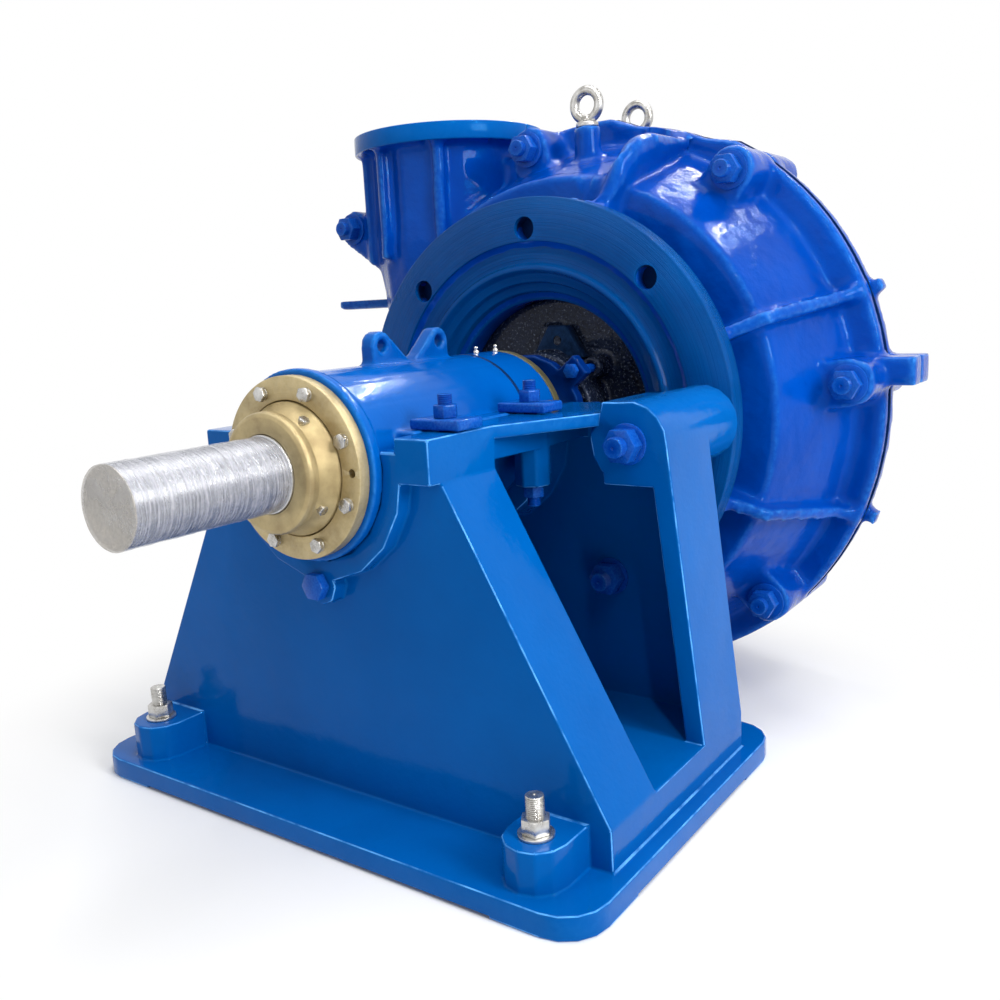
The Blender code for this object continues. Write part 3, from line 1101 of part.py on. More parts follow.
plate = cut(plate, turned([
    (0.0, RING_FACE - OVERRUN), (RING_RECESS_RADIUS, RING_FACE - OVERRUN),
    (RING_RECESS_RADIUS, RING_FACE + RING_RECESS_DEPTH), (RING_INNER_RADIUS, RING_FACE + RING_RECESS_DEPTH),
    (RING_INNER_RADIUS, RING_FACE + 2 * RING_RECESS_DEPTH), (RING_BORE_RADIUS, bore_start),
    (RING_BORE_RADIUS, bore_end + SINK), (0.0, bore_end + SINK),
], LARGE_STEPS))
for index in range(RING_HOLE_COUNT):
    place = polar(RING_BOLT_CIRCLE, index * 360 / RING_HOLE_COUNT)
    plate = cut(plate, rod(RING_HOLE_RADIUS, RING_FACE - OVERRUN, RING_FACE + RING_THICKNESS + OVERRUN, place,
                           steps=PIN_STEPS))
add_piece("frame_plate", plate, BLUE)

# Cover plate with the suction flange
COVER_SHOULDER = SPLIT + COVER_SHOULDER_DEPTH
COVER_DOME = SPLIT + COVER_DOME_DEPTH
flange_back = SUCTION_FACE - SUCTION_FLANGE_THICKNESS
shell = turned([
    (0.0, SPLIT - SINK), (RIM_RADIUS, SPLIT - SINK), (RIM_RADIUS, SPLIT + RIM_THICKNESS),
    (SHELL_RADIUS, SPLIT + RIM_THICKNESS), (SHELL_RADIUS, SPLIT + SHELL_DEPTH),
    (SHOULDER_RADIUS, COVER_SHOULDER),
    (COVER_DOME_RADIUS, COVER_DOME), (SUCTION_NECK_RADIUS, COVER_DOME + OVERRUN),
    (SUCTION_NECK_RADIUS, flange_back), (SUCTION_FLANGE_RADIUS, flange_back),
    (SUCTION_FLANGE_RADIUS, SUCTION_FACE), (0.0, SUCTION_FACE),
], LARGE_STEPS)
rib_outline = [(SUCTION_BORE_RADIUS, SPLIT), (RIM_RADIUS + RIB_PROUD, SPLIT),
               (RIM_RADIUS + RIB_PROUD, SPLIT + RIM_THICKNESS),
               (SHELL_RADIUS + RIB_PROUD, SPLIT + SHELL_DEPTH + OVERRUN),
               (SHOULDER_RADIUS + RIB_PROUD, COVER_SHOULDER + RIB_PROUD),
               (SUCTION_NECK_RADIUS, COVER_DOME + 2 * RIB_PROUD), (SUCTION_BORE_RADIUS, COVER_DOME)]
cavity_step = COVER_DOME - COVER_WALL
cavity = turned([
    (0.0, SPLIT - OVERRUN), (CAVITY_RADIUS, SPLIT - OVERRUN), (CAVITY_RADIUS, SPLIT + SHELL_DEPTH),
    (COVER_CAVITY_RADIUS, COVER_SHOULDER - SHELL_DEPTH), (COVER_DOME_RADIUS - OVERRUN, cavity_step),
    (SUCTION_BORE_RADIUS, cavity_step), (SUCTION_BORE_RADIUS, SUCTION_FACE + OVERRUN),
    (0.0, SUCTION_FACE + OVERRUN),
], LARGE_STEPS)
plate = casing_half(shell, 1, rib_outline, cavity)
for index in range(SUCTION_HOLE_COUNT):
    place = polar(SUCTION_BOLT_CIRCLE, (index + 0.5) * 360 / SUCTION_HOLE_COUNT)
    plate = cut(plate, rod(SUCTION_HOLE_RADIUS, flange_back - OVERRUN, SUCTION_FACE + OVERRUN, place,
                           steps=PIN_STEPS))
add_piece("cover_plate", plate, BLUE)

# Casing bolts: studs with a nut and a washer at each end
near_seat = SPLIT - CASING_BOSS_DEPTH - FIT
far_seat = SPLIT + CASING_BOSS_DEPTH + FIT
for index, place in enumerate(casing_bolt_places):
    reach = CASING_WASHER_THICKNESS + CASING_NUT_HEIGHT
    grip = CASING_WASHER_THICKNESS - FIT
    stations = (near_seat - reach - CASING_BOLT_TAIL, near_seat - reach, near_seat - grip,
                far_seat + grip, far_seat + reach, far_seat + reach + CASING_BOLT_TAIL)
    stud = bolt(CASING_BOLT_RADIUS, CASING_NUT_FLATS, stations, place)
    near = rod(CASING_WASHER_RADIUS, near_seat - CASING_WASHER_THICKNESS, near_seat, place)
    far = rod(CASING_WASHER_RADIUS, far_seat, far_seat + CASING_WASHER_THICKNESS, place)
    add_piece("casing_bolt_%d" % (index + 1), weld(stud, near, far), BLUE)

# Eye bolts
for name, along in (("eye_bolt_front", EYE_FRONT), ("eye_bolt_rear", EYE_REAR)):
    seat = EYE_BOSS_TOP + FIT
    centre = seat + EYE_COLLAR_HEIGHT + EYE_RING_RADIUS + EYE_WIRE_RADIUS / 2
    wire = [(EYE_RING_RADIUS + x, y) for x, y in arc((0.0, 0.0), EYE_WIRE_RADIUS, 0, 300, 5)]
    ring = moved(turned(wire, SMALL_STEPS), (EYE_OFFSET_X, along, centre))
    collar = rod(EYE_COLLAR_RADIUS, seat, seat + EYE_COLLAR_HEIGHT, (EYE_OFFSET_X, along), 2)
    shank = rod(EYE_SHANK_RADIUS, seat - EYE_SHANK_LENGTH, seat + SINK, (EYE_OFFSET_X, along), 2, PIN_STEPS)
    add_piece(name, weld(ring, collar, shank), ZINC)


# Stuffing box: collar behind the frame plate, dished flange, barrel and lifting lug
barrel_front = bore_start - STUFFING_BARREL_PROUD
flange_front = bore_end - STUFFING_FLANGE_THICKNESS
packing_end = LINER_SEAT - STUFFING_HEEL_LENGTH
box = turned([
    (0.0, barrel_front), (STUFFING_BARREL_RADIUS, barrel_front),
    (STUFFING_BARREL_RADIUS, flange_front), (RING_BORE_RADIUS - FIT, flange_front),
    (RING_BORE_RADIUS - FIT, bore_end + FIT), (STUFFING_COLLAR_RADIUS, bore_end + FIT),
    (STUFFING_COLLAR_RADIUS, LINER_SEAT), (0.0, LINER_SEAT),
], LARGE_STEPS)
box = cut(box, turned([
    (0.0, barrel_front - OVERRUN), (STUFFING_BORE_RADIUS, barrel_front - OVERRUN),
    (STUFFING_BORE_RADIUS, packing_end), (STUFFING_HEEL_RADIUS, packing_end),
    (STUFFING_HEEL_RADIUS, LINER_SEAT + OVERRUN), (0.0, LINER_SEAT + OVERRUN),
], MIDDLE_STEPS))
lug = slab([(-LIFT_LUG_FOOT_HALF, STUFFING_BARREL_RADIUS - SPIGOT_WALL),
            (LIFT_LUG_FOOT_HALF, STUFFING_BARREL_RADIUS - SPIGOT_WALL),
            (LIFT_LUG_TOP_HALF, LIFT_LUG_TOP), (-LIFT_LUG_TOP_HALF, LIFT_LUG_TOP)],
           0, 2, flange_front - LIFT_LUG_THICKNESS, flange_front + SINK)
lug = cut(lug, rod(LIFT_LUG_HOLE_RADIUS, flange_front - LIFT_LUG_THICKNESS - OVERRUN, flange_front - FIT,
                   (0.0, LIFT_LUG_HOLE_HEIGHT), steps=PIN_STEPS))
box = weld(box, lug)
GLAND_BOLT_BORE = open_radius(GLAND_BOLT_RADIUS + FIT, PIN_STEPS)
gland_bolt_places = [polar(GLAND_BOLT_CIRCLE, GLAND_BOLT_ANGLE),
                     polar(GLAND_BOLT_CIRCLE, GLAND_BOLT_ANGLE - 180)]
for place in gland_bolt_places:
    pad = rod(GLAND_EAR_HALF_WIDTH, barrel_front + OVERRUN, flange_front + SINK, place)
    box = weld(box, pad)
    box = cut(box, rod(GLAND_BOLT_BORE, barrel_front, flange_front + SINK, place, steps=PIN_STEPS))
add_piece("stuffing_box", box, IRON)

# Packing rings and the lantern ring, stacked against the heel of the box
ring_outer = STUFFING_BORE_RADIUS - FIT
ring_inner = open_radius(SLEEVE_RADIUS + FIT, MIDDLE_STEPS)
station = packing_end - FIT
stack = (("packing_ring_inner", PACKING_WIDTH), ("lantern_ring", LANTERN_WIDTH),
         ("packing_ring_outer", 2 * PACKING_WIDTH))
for name, width in stack:
    start = station - width
    outline = [(ring_inner, start), (ring_outer, start), (ring_outer, station), (ring_inner, station)]
    finish = PACKING
    if name == "lantern_ring":
        quarter = width / 4
        waist = ring_outer - LANTERN_WAIST
        outline = [(ring_inner, start), (ring_outer, start), (ring_outer, start + quarter),
                   (waist, start + quarter), (waist, station - quarter), (ring_outer, station - quarter),
                   (ring_outer, station), (ring_inner, station)]
        finish = GOLD
    add_piece(name, turned(outline, MIDDLE_STEPS), finish)
    station = start - FIT
PACKING_FACE = station

# Gland: two halves clamped round the sleeve, with its nose in the box
gland_back = barrel_front - GLAND_NOSE_CLEAR
gland_front = gland_back - GLAND_FLANGE_THICKNESS
for name, sign in (("gland_upper", 1), ("gland_lower", -1)):
    half = turned([
        (SLEEVE_RADIUS + RUNNING_GAP, gland_front), (GLAND_FLANGE_RADIUS, gland_front),
        (GLAND_FLANGE_RADIUS, gland_back), (STUFFING_BORE_RADIUS - FIT, gland_back),
        (STUFFING_BORE_RADIUS - FIT, PACKING_FACE), (SLEEVE_RADIUS + RUNNING_GAP, PACKING_FACE),
    ], MIDDLE_STEPS)
    place = gland_bolt_places[0] if sign > 0 else gland_bolt_places[1]
    ear = block((STUFFING_BORE_RADIUS + SPIGOT_WALL, gland_front, -GLAND_EAR_HALF_WIDTH),
                (GLAND_EAR_REACH, gland_back, GLAND_EAR_HALF_WIDTH))
    turn = math.radians(GLAND_BOLT_ANGLE if sign > 0 else GLAND_BOLT_ANGLE - 180)
    bmesh.ops.rotate(ear, cent=(0.0, 0.0, 0.0), matrix=Matrix.Rotation(-turn, 3, "Y"), verts=ear.verts)
    half = weld(half, ear)
    tab = block((-GLAND_TAB_REACH, gland_front, -GLAND_TAB_THICKNESS), (GLAND_TAB_REACH, gland_back,
                                                                        GLAND_TAB_THICKNESS))
    tab = cut(tab, rod(GLAND_FLANGE_RADIUS - SINK, gland_front - OVERRUN, gland_back + OVERRUN,
                       steps=MIDDLE_STEPS))
    half = weld(half, tab)
    reach = GLAND_TAB_REACH + OVERRUN
    low = min(-sign * reach, sign * FIT / 2)
    high = max(-sign * reach, sign * FIT / 2)
    half = cut(half, block((-reach, gland_front - OVERRUN, low), (reach, PACKING_FACE + OVERRUN, high)))
    for side in (-1, 1):
        half = cut(half, rod(GLAND_CLAMP_RADIUS + FIT, -GLAND_TAB_THICKNESS - OVERRUN,
                             GLAND_TAB_THICKNESS + OVERRUN,
                             (side * GLAND_CLAMP_OFFSET, (gland_front + gland_back) / 2), 2, PIN_STEPS))
    half = cut(half, rod(GLAND_BOLT_BORE, gland_front - OVERRUN, gland_back + OVERRUN, place,
                         steps=PIN_STEPS))
    add_piece(name, half, BLUE, gland_carrier)

# Clamp bolts that draw the gland halves together
for index, side in enumerate((-1, 1)):
    place = (side * GLAND_CLAMP_OFFSET, (gland_front + gland_back) / 2)
    top = GLAND_TAB_THICKNESS + FIT
    stud = rod(GLAND_CLAMP_RADIUS, -top - GLAND_CLAMP_HEAD - GLAND_CLAMP_TAIL, top + SINK, place, 2,
               PIN_STEPS)
    head = hexagon(GLAND_CLAMP_FLATS, top, top + GLAND_CLAMP_HEAD, place, 2)
    nut = hexagon(GLAND_CLAMP_FLATS, -top - GLAND_CLAMP_HEAD, -top, place, 2)
    add_piece("gland_clamp_bolt_%d" % (index + 1), weld(stud, head, nut), BLUE, gland_carrier)

# Gland bolts, screwed into the box to press the gland on the packing
for index, place in enumerate(gland_bolt_places):
    carrier = frame("gland_screw_%d" % (index + 1), (place[0], gland_front, place[1]), gland_carrier)
    head = hexagon(GLAND_BOLT_FLATS, gland_front - FIT - GLAND_BOLT_HEAD, gland_front - FIT, place)
    bolt_end = barrel_front + OVERRUN + GLAND_BOLT_BITE
    shank = rod(GLAND_BOLT_RADIUS, gland_front - FIT - SINK, bolt_end, place, steps=PIN_STEPS)
    add_piece("gland_bolt_%d" % (index + 1), weld(head, shank), BLUE, carrier)


# Impeller: two shrouds with backward curved vanes between them and pump-out vanes on the back
IMPELLER_FRONT = IMPELLER_BACK + IMPELLER_WIDTH
back_inner = IMPELLER_BACK + SHROUD_THICKNESS
front_inner = IMPELLER_FRONT - SHROUD_THICKNESS
impeller = turned([
    (0.0, IMPELLER_BACK), (IMPELLER_RADIUS, IMPELLER_BACK), (IMPELLER_RADIUS, back_inner),
    (HUB_RADIUS + OVERRUN, back_inner), (HUB_RADIUS, back_inner + OVERRUN),
    (HUB_NOSE_RADIUS, front_inner), (0.0, front_inner),
], LARGE_STEPS)
front_shroud = turned([
    (IMPELLER_EYE_RADIUS, front_inner), (IMPELLER_RADIUS, front_inner), (IMPELLER_RADIUS, IMPELLER_FRONT),
    (IMPELLER_EYE_RADIUS + EYE_LIP_WALL, IMPELLER_FRONT),
    (IMPELLER_EYE_RADIUS + EYE_LIP_WALL, IMPELLER_FRONT + IMPELLER_EYE_LENGTH),
    (IMPELLER_EYE_RADIUS, IMPELLER_FRONT + IMPELLER_EYE_LENGTH),
], LARGE_STEPS)


def vane_outline(start_radius, end_radius, sweep, thickness, turn, steps):
    """Both sides of a logarithmic spiral vane that trails the clockwise rotation."""
    sides = [[], []]
    for step in range(steps + 1):
        share = step / steps
        radius = start_radius * (end_radius / start_radius) ** share
        angle = math.radians(turn + sweep * share)
        for side, sign in zip(sides, (-1, 1)):
            spread = sign * thickness / (2 * radius)
            side.append((radius * math.cos(angle + spread), radius * math.sin(angle + spread)))
    return sides[0] + sides[1][::-1]


for index in range(VANE_COUNT):
    outline = vane_outline(VANE_START_RADIUS, IMPELLER_RADIUS - SINK, VANE_SWEEP, VANE_THICKNESS,
                           index * 360 / VANE_COUNT, VANE_STEPS)
    impeller = weld(impeller, slab(outline, 0, 2, back_inner - SINK, front_inner + SINK))
impeller = weld(impeller, front_shroud)
for index in range(PUMP_OUT_VANE_COUNT):
    outline = vane_outline(STUFFING_COLLAR_RADIUS / 2 + VANE_THICKNESS, IMPELLER_RADIUS - SINK, VANE_SWEEP / 3,
                           PUMP_OUT_VANE_THICKNESS, index * 360 / PUMP_OUT_VANE_COUNT, 1)
    impeller = weld(impeller, slab(outline, 0, 2, IMPELLER_BACK - PUMP_OUT_VANE_HEIGHT, IMPELLER_BACK + SINK))
impeller = cut(impeller, rod(IMPELLER_THREAD_RADIUS + FIT, IMPELLER_BACK - OVERRUN, shaft_end + FIT,
                             steps=MIDDLE_STEPS))
add_piece("impeller", impeller, CHROME_IRON, rotor_carrier)

# Frame plate liner between the stuffing box and the impeller's back
liner_front = LINER_SEAT + FIT
liner = turned([
    (SLEEVE_RADIUS + SWEEP_GAP, liner_front), (SIDE_LINER_RADIUS, liner_front),
    (SIDE_LINER_RADIUS, liner_front + SIDE_LINER_THICKNESS),
    (SLEEVE_RADIUS + SWEEP_GAP, liner_front + SIDE_LINER_THICKNESS),
], LARGE_STEPS)
add_piece("frame_plate_liner", liner, CHROME_IRON)

# Throatbush on the suction side
bush_start = IMPELLER_FRONT + IMPELLER_EYE_LENGTH + IMPELLER_SIDE_GAP
bush_wall = EYE_LIP_WALL + RUNNING_GAP
bush = turned([
    (THROATBUSH_BORE, bush_start), (IMPELLER_EYE_RADIUS + EYE_LIP_WALL + SWEEP_GAP, bush_start),
    (IMPELLER_EYE_RADIUS + EYE_LIP_WALL + SWEEP_GAP, IMPELLER_FRONT + IMPELLER_SIDE_GAP),
    (SIDE_LINER_RADIUS, IMPELLER_FRONT + IMPELLER_SIDE_GAP),
    (SIDE_LINER_RADIUS, IMPELLER_FRONT + IMPELLER_SIDE_GAP + BUSH_THICKNESS),
    (SUCTION_BORE_RADIUS - FIT, COVER_DOME - COVER_WALL - OVERRUN),
    (SUCTION_BORE_RADIUS - FIT, SUCTION_FACE - JOINT_RING_THICKNESS),
    (THROATBUSH_BORE, SUCTION_FACE - JOINT_RING_THICKNESS),
], LARGE_STEPS)
add_piece("throatbush", bush, CHROME_IRON)


# Volute liner: a spiral shell round the impeller that runs out into the discharge
def spiral_solid(grow, inner):
    """Closed spiral body; its outer radius grows round the turn and steps back at the tongue."""
    body = bmesh.new()
    half = VOLUTE_HALF_WIDTH + grow
    rings = []
    for step in range(VOLUTE_STEPS):
        share = step / (VOLUTE_STEPS - 1)
        angle = math.radians(VOLUTE_TONGUE_ANGLE - share * 360 * (VOLUTE_STEPS - 1) / VOLUTE_STEPS)
        outer = VOLUTE_START_RADIUS + (VOLUTE_END_RADIUS - VOLUTE_START_RADIUS) * share + grow
        corner = (outer - inner) * VOLUTE_CORNER_SHARE
        outline = [(inner, -half), (outer - corner, -half)]
        outline += arc((outer - corner, -half + corner), corner, -90, 0, VOLUTE_CORNER_STEPS)[1:]
        outline += [(outer, half - corner)]
        outline += arc((outer - corner, half - corner), corner, 0, 90, VOLUTE_CORNER_STEPS)[1:]
        outline += [(inner, half)]
        ring = []
        for radius, station in outline:
            place = (radius * math.cos(angle), SPLIT + station, radius * math.sin(angle))
            ring.append(body.verts.new(place))
        rings.append(ring)
    for index, ring in enumerate(rings):
        following = rings[(index + 1) % len(rings)]
        for first in range(len(ring)):
            second = (first + 1) % len(ring)
            body.faces.new((ring[first], ring[second], following[second]))
            body.faces.new((ring[first], following[second], following[first]))
    bmesh.ops.recalc_face_normals(body, faces=body.faces)
    return body


liner_top = NOZZLE_TOP - JOINT_RING_THICKNESS
volute = weld(spiral_solid(VOLUTE_WALL, IMPELLER_RADIUS), discharge_solid(NOZZLE_LINER_WALL, liner_top))
volute = cut(volute, spiral_solid(0.0, IMPELLER_RADIUS - OVERRUN))
volute = cut(volute, discharge_solid(0.0, NOZZLE_TOP + OVERRUN))
volute = cut(volute, rod(SIDE_LINER_RADIUS + FIT, SPLIT - VOLUTE_HALF_WIDTH - 2 * OVERRUN,
                         SPLIT + VOLUTE_HALF_WIDTH + 2 * OVERRUN, steps=LARGE_STEPS))
add_piece("volute_liner", volute, CHROME_IRON)

# Joint rings on the two nozzles
ring = turned([(NOZZLE_BORE_RADIUS, liner_top + FIT), (NOZZLE_CAVITY_RADIUS - FIT, liner_top + FIT),
               (NOZZLE_CAVITY_RADIUS - FIT, NOZZLE_TOP), (NOZZLE_BORE_RADIUS, NOZZLE_TOP)],
              DUCT_STEPS, NOZZLE_AXIS, 2)
add_piece("discharge_joint_ring", ring, RUBBER)
ring_start = SUCTION_FACE - JOINT_RING_THICKNESS + FIT
ring = turned([(THROATBUSH_BORE, ring_start), (SUCTION_BORE_RADIUS - FIT, ring_start),
               (SUCTION_BORE_RADIUS - FIT, SUCTION_FACE), (THROATBUSH_BORE, SUCTION_FACE)], LARGE_STEPS)
add_piece("intake_joint_ring", ring, RUBBER)
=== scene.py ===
import math

import bmesh
import bpy
from mathutils import Matrix, Vector, noise


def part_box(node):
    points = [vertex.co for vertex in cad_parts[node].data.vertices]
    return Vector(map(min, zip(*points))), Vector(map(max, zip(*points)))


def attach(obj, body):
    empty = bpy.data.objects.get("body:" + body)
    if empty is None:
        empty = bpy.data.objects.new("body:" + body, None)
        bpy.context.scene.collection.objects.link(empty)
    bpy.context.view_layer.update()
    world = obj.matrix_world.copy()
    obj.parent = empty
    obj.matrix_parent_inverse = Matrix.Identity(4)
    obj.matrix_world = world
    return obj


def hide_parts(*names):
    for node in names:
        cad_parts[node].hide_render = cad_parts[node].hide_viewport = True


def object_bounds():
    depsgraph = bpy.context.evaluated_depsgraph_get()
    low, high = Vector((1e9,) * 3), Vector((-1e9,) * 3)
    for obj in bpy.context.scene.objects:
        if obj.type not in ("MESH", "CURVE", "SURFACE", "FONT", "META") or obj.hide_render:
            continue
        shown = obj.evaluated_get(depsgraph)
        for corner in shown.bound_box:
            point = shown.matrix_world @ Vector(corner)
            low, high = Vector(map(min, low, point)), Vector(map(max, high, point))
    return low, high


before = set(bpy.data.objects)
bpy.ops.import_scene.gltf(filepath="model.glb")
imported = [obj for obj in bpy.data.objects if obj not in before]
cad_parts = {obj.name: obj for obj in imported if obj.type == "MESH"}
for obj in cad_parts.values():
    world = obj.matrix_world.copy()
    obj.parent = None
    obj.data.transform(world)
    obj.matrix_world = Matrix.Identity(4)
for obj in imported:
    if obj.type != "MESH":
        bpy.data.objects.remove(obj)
cad_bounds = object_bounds()
scene = bpy.context.scene

# Camera
# It stands beside the drive end, a little above the shaft, and leans about three degrees.
# There is no shift and no depth of field.
CAMERA_PLACE = Vector((0.9817, -0.6254, 0.1989))
CAMERA_TURN = math.radians(35.7)
CAMERA_RISE = math.radians(11.06)
CAMERA_LEAN = math.radians(-2.9)
CAMERA_LENS, CAMERA_SENSOR, CAMERA_CLIP = 35.886, 36.0, 0.05

camera_data = bpy.data.cameras.new("camera")
camera_data.lens = CAMERA_LENS
camera_data.sensor_width = CAMERA_SENSOR
camera_data.clip_start = CAMERA_CLIP
camera = bpy.data.objects.new("camera", camera_data)
scene.collection.objects.link(camera)
camera.location = CAMERA_PLACE
camera.rotation_euler = (Matrix.Rotation(CAMERA_TURN, 3, "Z")
                         @ Matrix.Rotation(math.pi / 2 - CAMERA_RISE, 3, "X")
                         @ Matrix.Rotation(CAMERA_LEAN, 3, "Z")).to_euler()
scene.camera = camera

# Floor, background and lamps
# A pale workshop floor that runs out to white, a step lower behind the pedestal for the casing.
# A broad lamp at the right, one overhead, a weak one in front and three thin tubes for the gloss.
FLOOR_COLOUR = (0.92, 0.92, 0.92, 1.0)
BASE_LOW, BASE_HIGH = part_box("base_frame")
FLOOR_HEIGHT = cad_bounds[0].z - 0.0005
FLOOR_REACH, FLOOR_THICKNESS = 30.0, 0.05
STEP_REAR = BASE_HIGH.y + 0.012
FADE_START, FADE_END = 0.5, 0.98
WORLD_LIGHT = 0.34
FLOOR_MIDDLE = (0.0, 0.62, FLOOR_HEIGHT)
LAMP_AIM = Vector((0.0, 0.75, 0.0))
LAMPS = (("right", (3.3, 0.1, 1.4), 1.3, 1.3, 72.0), ("overhead", (-0.2, 0.9, 3.0), 1.6, 1.6, 34.0),
         ("front", (-1.4, -2.9, 1.4), 1.8, 1.8, 9.0), ("tube", (0.9, -0.2, 2.4), 0.02, 2.4, 26.0),
         ("side tube", (2.3, 0.4, 2.1), 0.02, 2.4, 24.0), ("rear tube", (0.4, 2.5, 2.2), 2.4, 0.02, 24.0))

scene.view_settings.view_transform = "Standard"


def placed(tree, kind, **settings):
    """Add a node and set what the settings name."""
    node = tree.nodes.new(kind)
    for name, value in settings.items():
        setattr(node, name, value)
    return node


def reckon(tree, operation, first, second):
    """One sum of two values; either may be a plain number."""
    node = placed(tree, "ShaderNodeMath", operation=operation)
    for index, value in enumerate((first, second)):
        if isinstance(value, (int, float)):
            node.inputs[index].default_value = value
        else:
            tree.links.new(value, node.inputs[index])
    return node.outputs[0]


def spread(tree, value, low, high, to_low=0.0, to_high=1.0, kind="LINEAR"):
    """Stretch a value's middle range to another range."""
    node = placed(tree, "ShaderNodeMapRange", interpolation_type=kind)
    for name, setting in (("From Min", low), ("From Max", high), ("To Min", to_low), ("To Max", to_high)):
        node.inputs[name].default_value = setting
    tree.links.new(value, node.inputs["Value"])
    return node.outputs["Result"]


def new_finish(name):
    """A material, its node tree, its shader and the place on the piece."""
    material = bpy.data.materials.new(name)
    material.use_nodes = True
    tree = material.node_tree
    return material, tree, tree.nodes["Principled BSDF"], placed(tree, "ShaderNodeTexCoord").outputs["Object"]


def white_rays(tree):
    """One for the rays that see the background: the camera's, and those in gloss and glass."""
    rays = placed(tree, "ShaderNodeLightPath")
    seen = rays.outputs["Is Camera Ray"]
    for name in ("Is Glossy Ray", "Is Transmission Ray"):
        seen = reckon(tree, "MAXIMUM", seen, rays.outputs[name])
    return seen


world = bpy.data.worlds.new("workshop")
scene.world = world
world.use_nodes = True
sky = world.node_tree
sky_shader = sky.nodes["Background"]
sky_shader.inputs["Color"].default_value = (1.0, 1.0, 1.0, 1.0)
sky.links.new(spread(sky, white_rays(sky), 0.0, 1.0, WORLD_LIGHT, 1.0), sky_shader.inputs["Strength"])

floor_finish, floor_tree, floor_shader, floor_place = new_finish("floor")
floor_shader.inputs["Base Color"].default_value = FLOOR_COLOUR
floor_shader.inputs["Roughness"].default_value = 0.9
floor_shader.inputs["Specular IOR Level"].default_value = 0.1
floor_distance = placed(floor_tree, "ShaderNodeVectorMath", operation="DISTANCE")
floor_distance.inputs[1].default_value = FLOOR_MIDDLE
floor_tree.links.new(floor_place, floor_distance.inputs[0])
floor_fade = spread(floor_tree, floor_distance.outputs["Value"], FADE_START, FADE_END, kind="SMOOTHSTEP")
floor_white = placed(floor_tree, "ShaderNodeEmission")
floor_mixed = placed(floor_tree, "ShaderNodeMixShader")
floor_tree.links.new(reckon(floor_tree, "MULTIPLY", floor_fade, white_rays(floor_tree)), floor_mixed.inputs[0])
floor_tree.links.new(floor_shader.outputs[0], floor_mixed.inputs[1])
floor_tree.links.new(floor_white.outputs[0], floor_mixed.inputs[2])
floor_tree.links.new(floor_mixed.outputs[0], floor_tree.nodes["Material Output"].inputs["Surface"])

for name, front, rear, top in (("floor", STEP_REAR, FLOOR_REACH, FLOOR_HEIGHT),
                               ("floor_step", -FLOOR_REACH, STEP_REAR, BASE_LOW.z)):
    low, high = Vector((-FLOOR_REACH, front, FLOOR_HEIGHT - FLOOR_THICKNESS)), Vector((FLOOR_REACH, rear, top))
    slab = bmesh.new()
    bmesh.ops.create_cube(slab, size=1.0)
    bmesh.ops.scale(slab, vec=high - low, verts=slab.verts)
    bmesh.ops.translate(slab, vec=(high + low) / 2, verts=slab.verts)
    floor_mesh = bpy.data.meshes.new(name)
    slab.to_mesh(floor_mesh)
    slab.free()
    floor_mesh.materials.append(floor_finish)
    floor = bpy.data.objects.new(name, floor_mesh)
    scene.collection.objects.link(floor)

for lamp_name, place, width, length, power in LAMPS:
    lamp_data = bpy.data.lights.new(lamp_name, "AREA")
    lamp_data.shape = "RECTANGLE"
    lamp_data.size = width
    lamp_data.size_y = length
    lamp_data.energy = power
    lamp = bpy.data.objects.new(lamp_name, lamp_data)
    scene.collection.objects.link(lamp)
    lamp.location = place
    lamp.rotation_euler = (LAMP_AIM - Vector(place)).to_track_quat("-Z", "Y").to_euler()

# Pedestal
# A welded and cast iron stand under thick glossy blue paint, with walls, legs and rails on a plinth.
# Its surfaces are a little uneven under the paint, and its corners are soft, with a painted highlight along their
# crests.
PLATE_DEEP = (0.0, 0.086, 0.35, 1.0)
PLATE_LIT = (0.0, 0.11, 0.43, 1.0)
BLUE_DEEP = (0.0, 0.042, 0.31, 1.0)
BLUE_LIT = (0.0, 0.066, 0.43, 1.0)
# Edge colours: worn paint on edges, made lighter still as a painted highlight.
BLUE_EDGE_GLINT = (0.06, 0.38, 0.95, 1.0)
BRIGHT_EDGE_HIGHLIGHT = (0.12, 0.44, 0.95, 1.0)
GLOSS_TINT = (0.0, 0.42, 1.0, 1.0)
MERGE = 0.00001
CREST_BEND = math.radians(25.0)
PLATE_ROUND, PLATE_NEAR, PLATE_BEND = 0.0035, 0.0033, math.radians(28)
LEAST_EDGE, LEAST_FACE = 1.2, 1.7
MARK_SHADE = (0.35, 0.35, 0.35, 1.0)


def noise_at(tree, place, scale, detail, harshness):
    """Noise over a place; the scale is a number or the socket that carries it."""
    node = placed(tree, "ShaderNodeTexNoise")
    node.inputs["Detail"].default_value = detail
    node.inputs["Roughness"].default_value = harshness
    tree.links.new(place, node.inputs["Vector"])
    if isinstance(scale, (int, float)):
        node.inputs["Scale"].default_value = scale
    else:
        tree.links.new(scale, node.inputs["Scale"])
    return node.outputs["Fac"]


def bumped(tree, height, distance, normal=None):
    """A normal raised by a height, over another normal if there is one."""
    node = placed(tree, "ShaderNodeBump")
    node.inputs["Distance"].default_value = distance
    tree.links.new(height, node.inputs["Height"])
    if normal:
        tree.links.new(normal, node.inputs["Normal"])
    return node.outputs["Normal"]


def blended(tree, share, first, second, blend="MIX"):
    """A colour mixed with a second one by a share; either may be a plain colour."""
    node = placed(tree, "ShaderNodeMix", data_type="RGBA", blend_type=blend)
    tree.links.new(share, node.inputs[0])
    for index, colour in ((6, first), (7, second)):
        if isinstance(colour, tuple):
            node.inputs[index].default_value = colour
        else:
            tree.links.new(colour, node.inputs[index])
    return node.outputs[2]


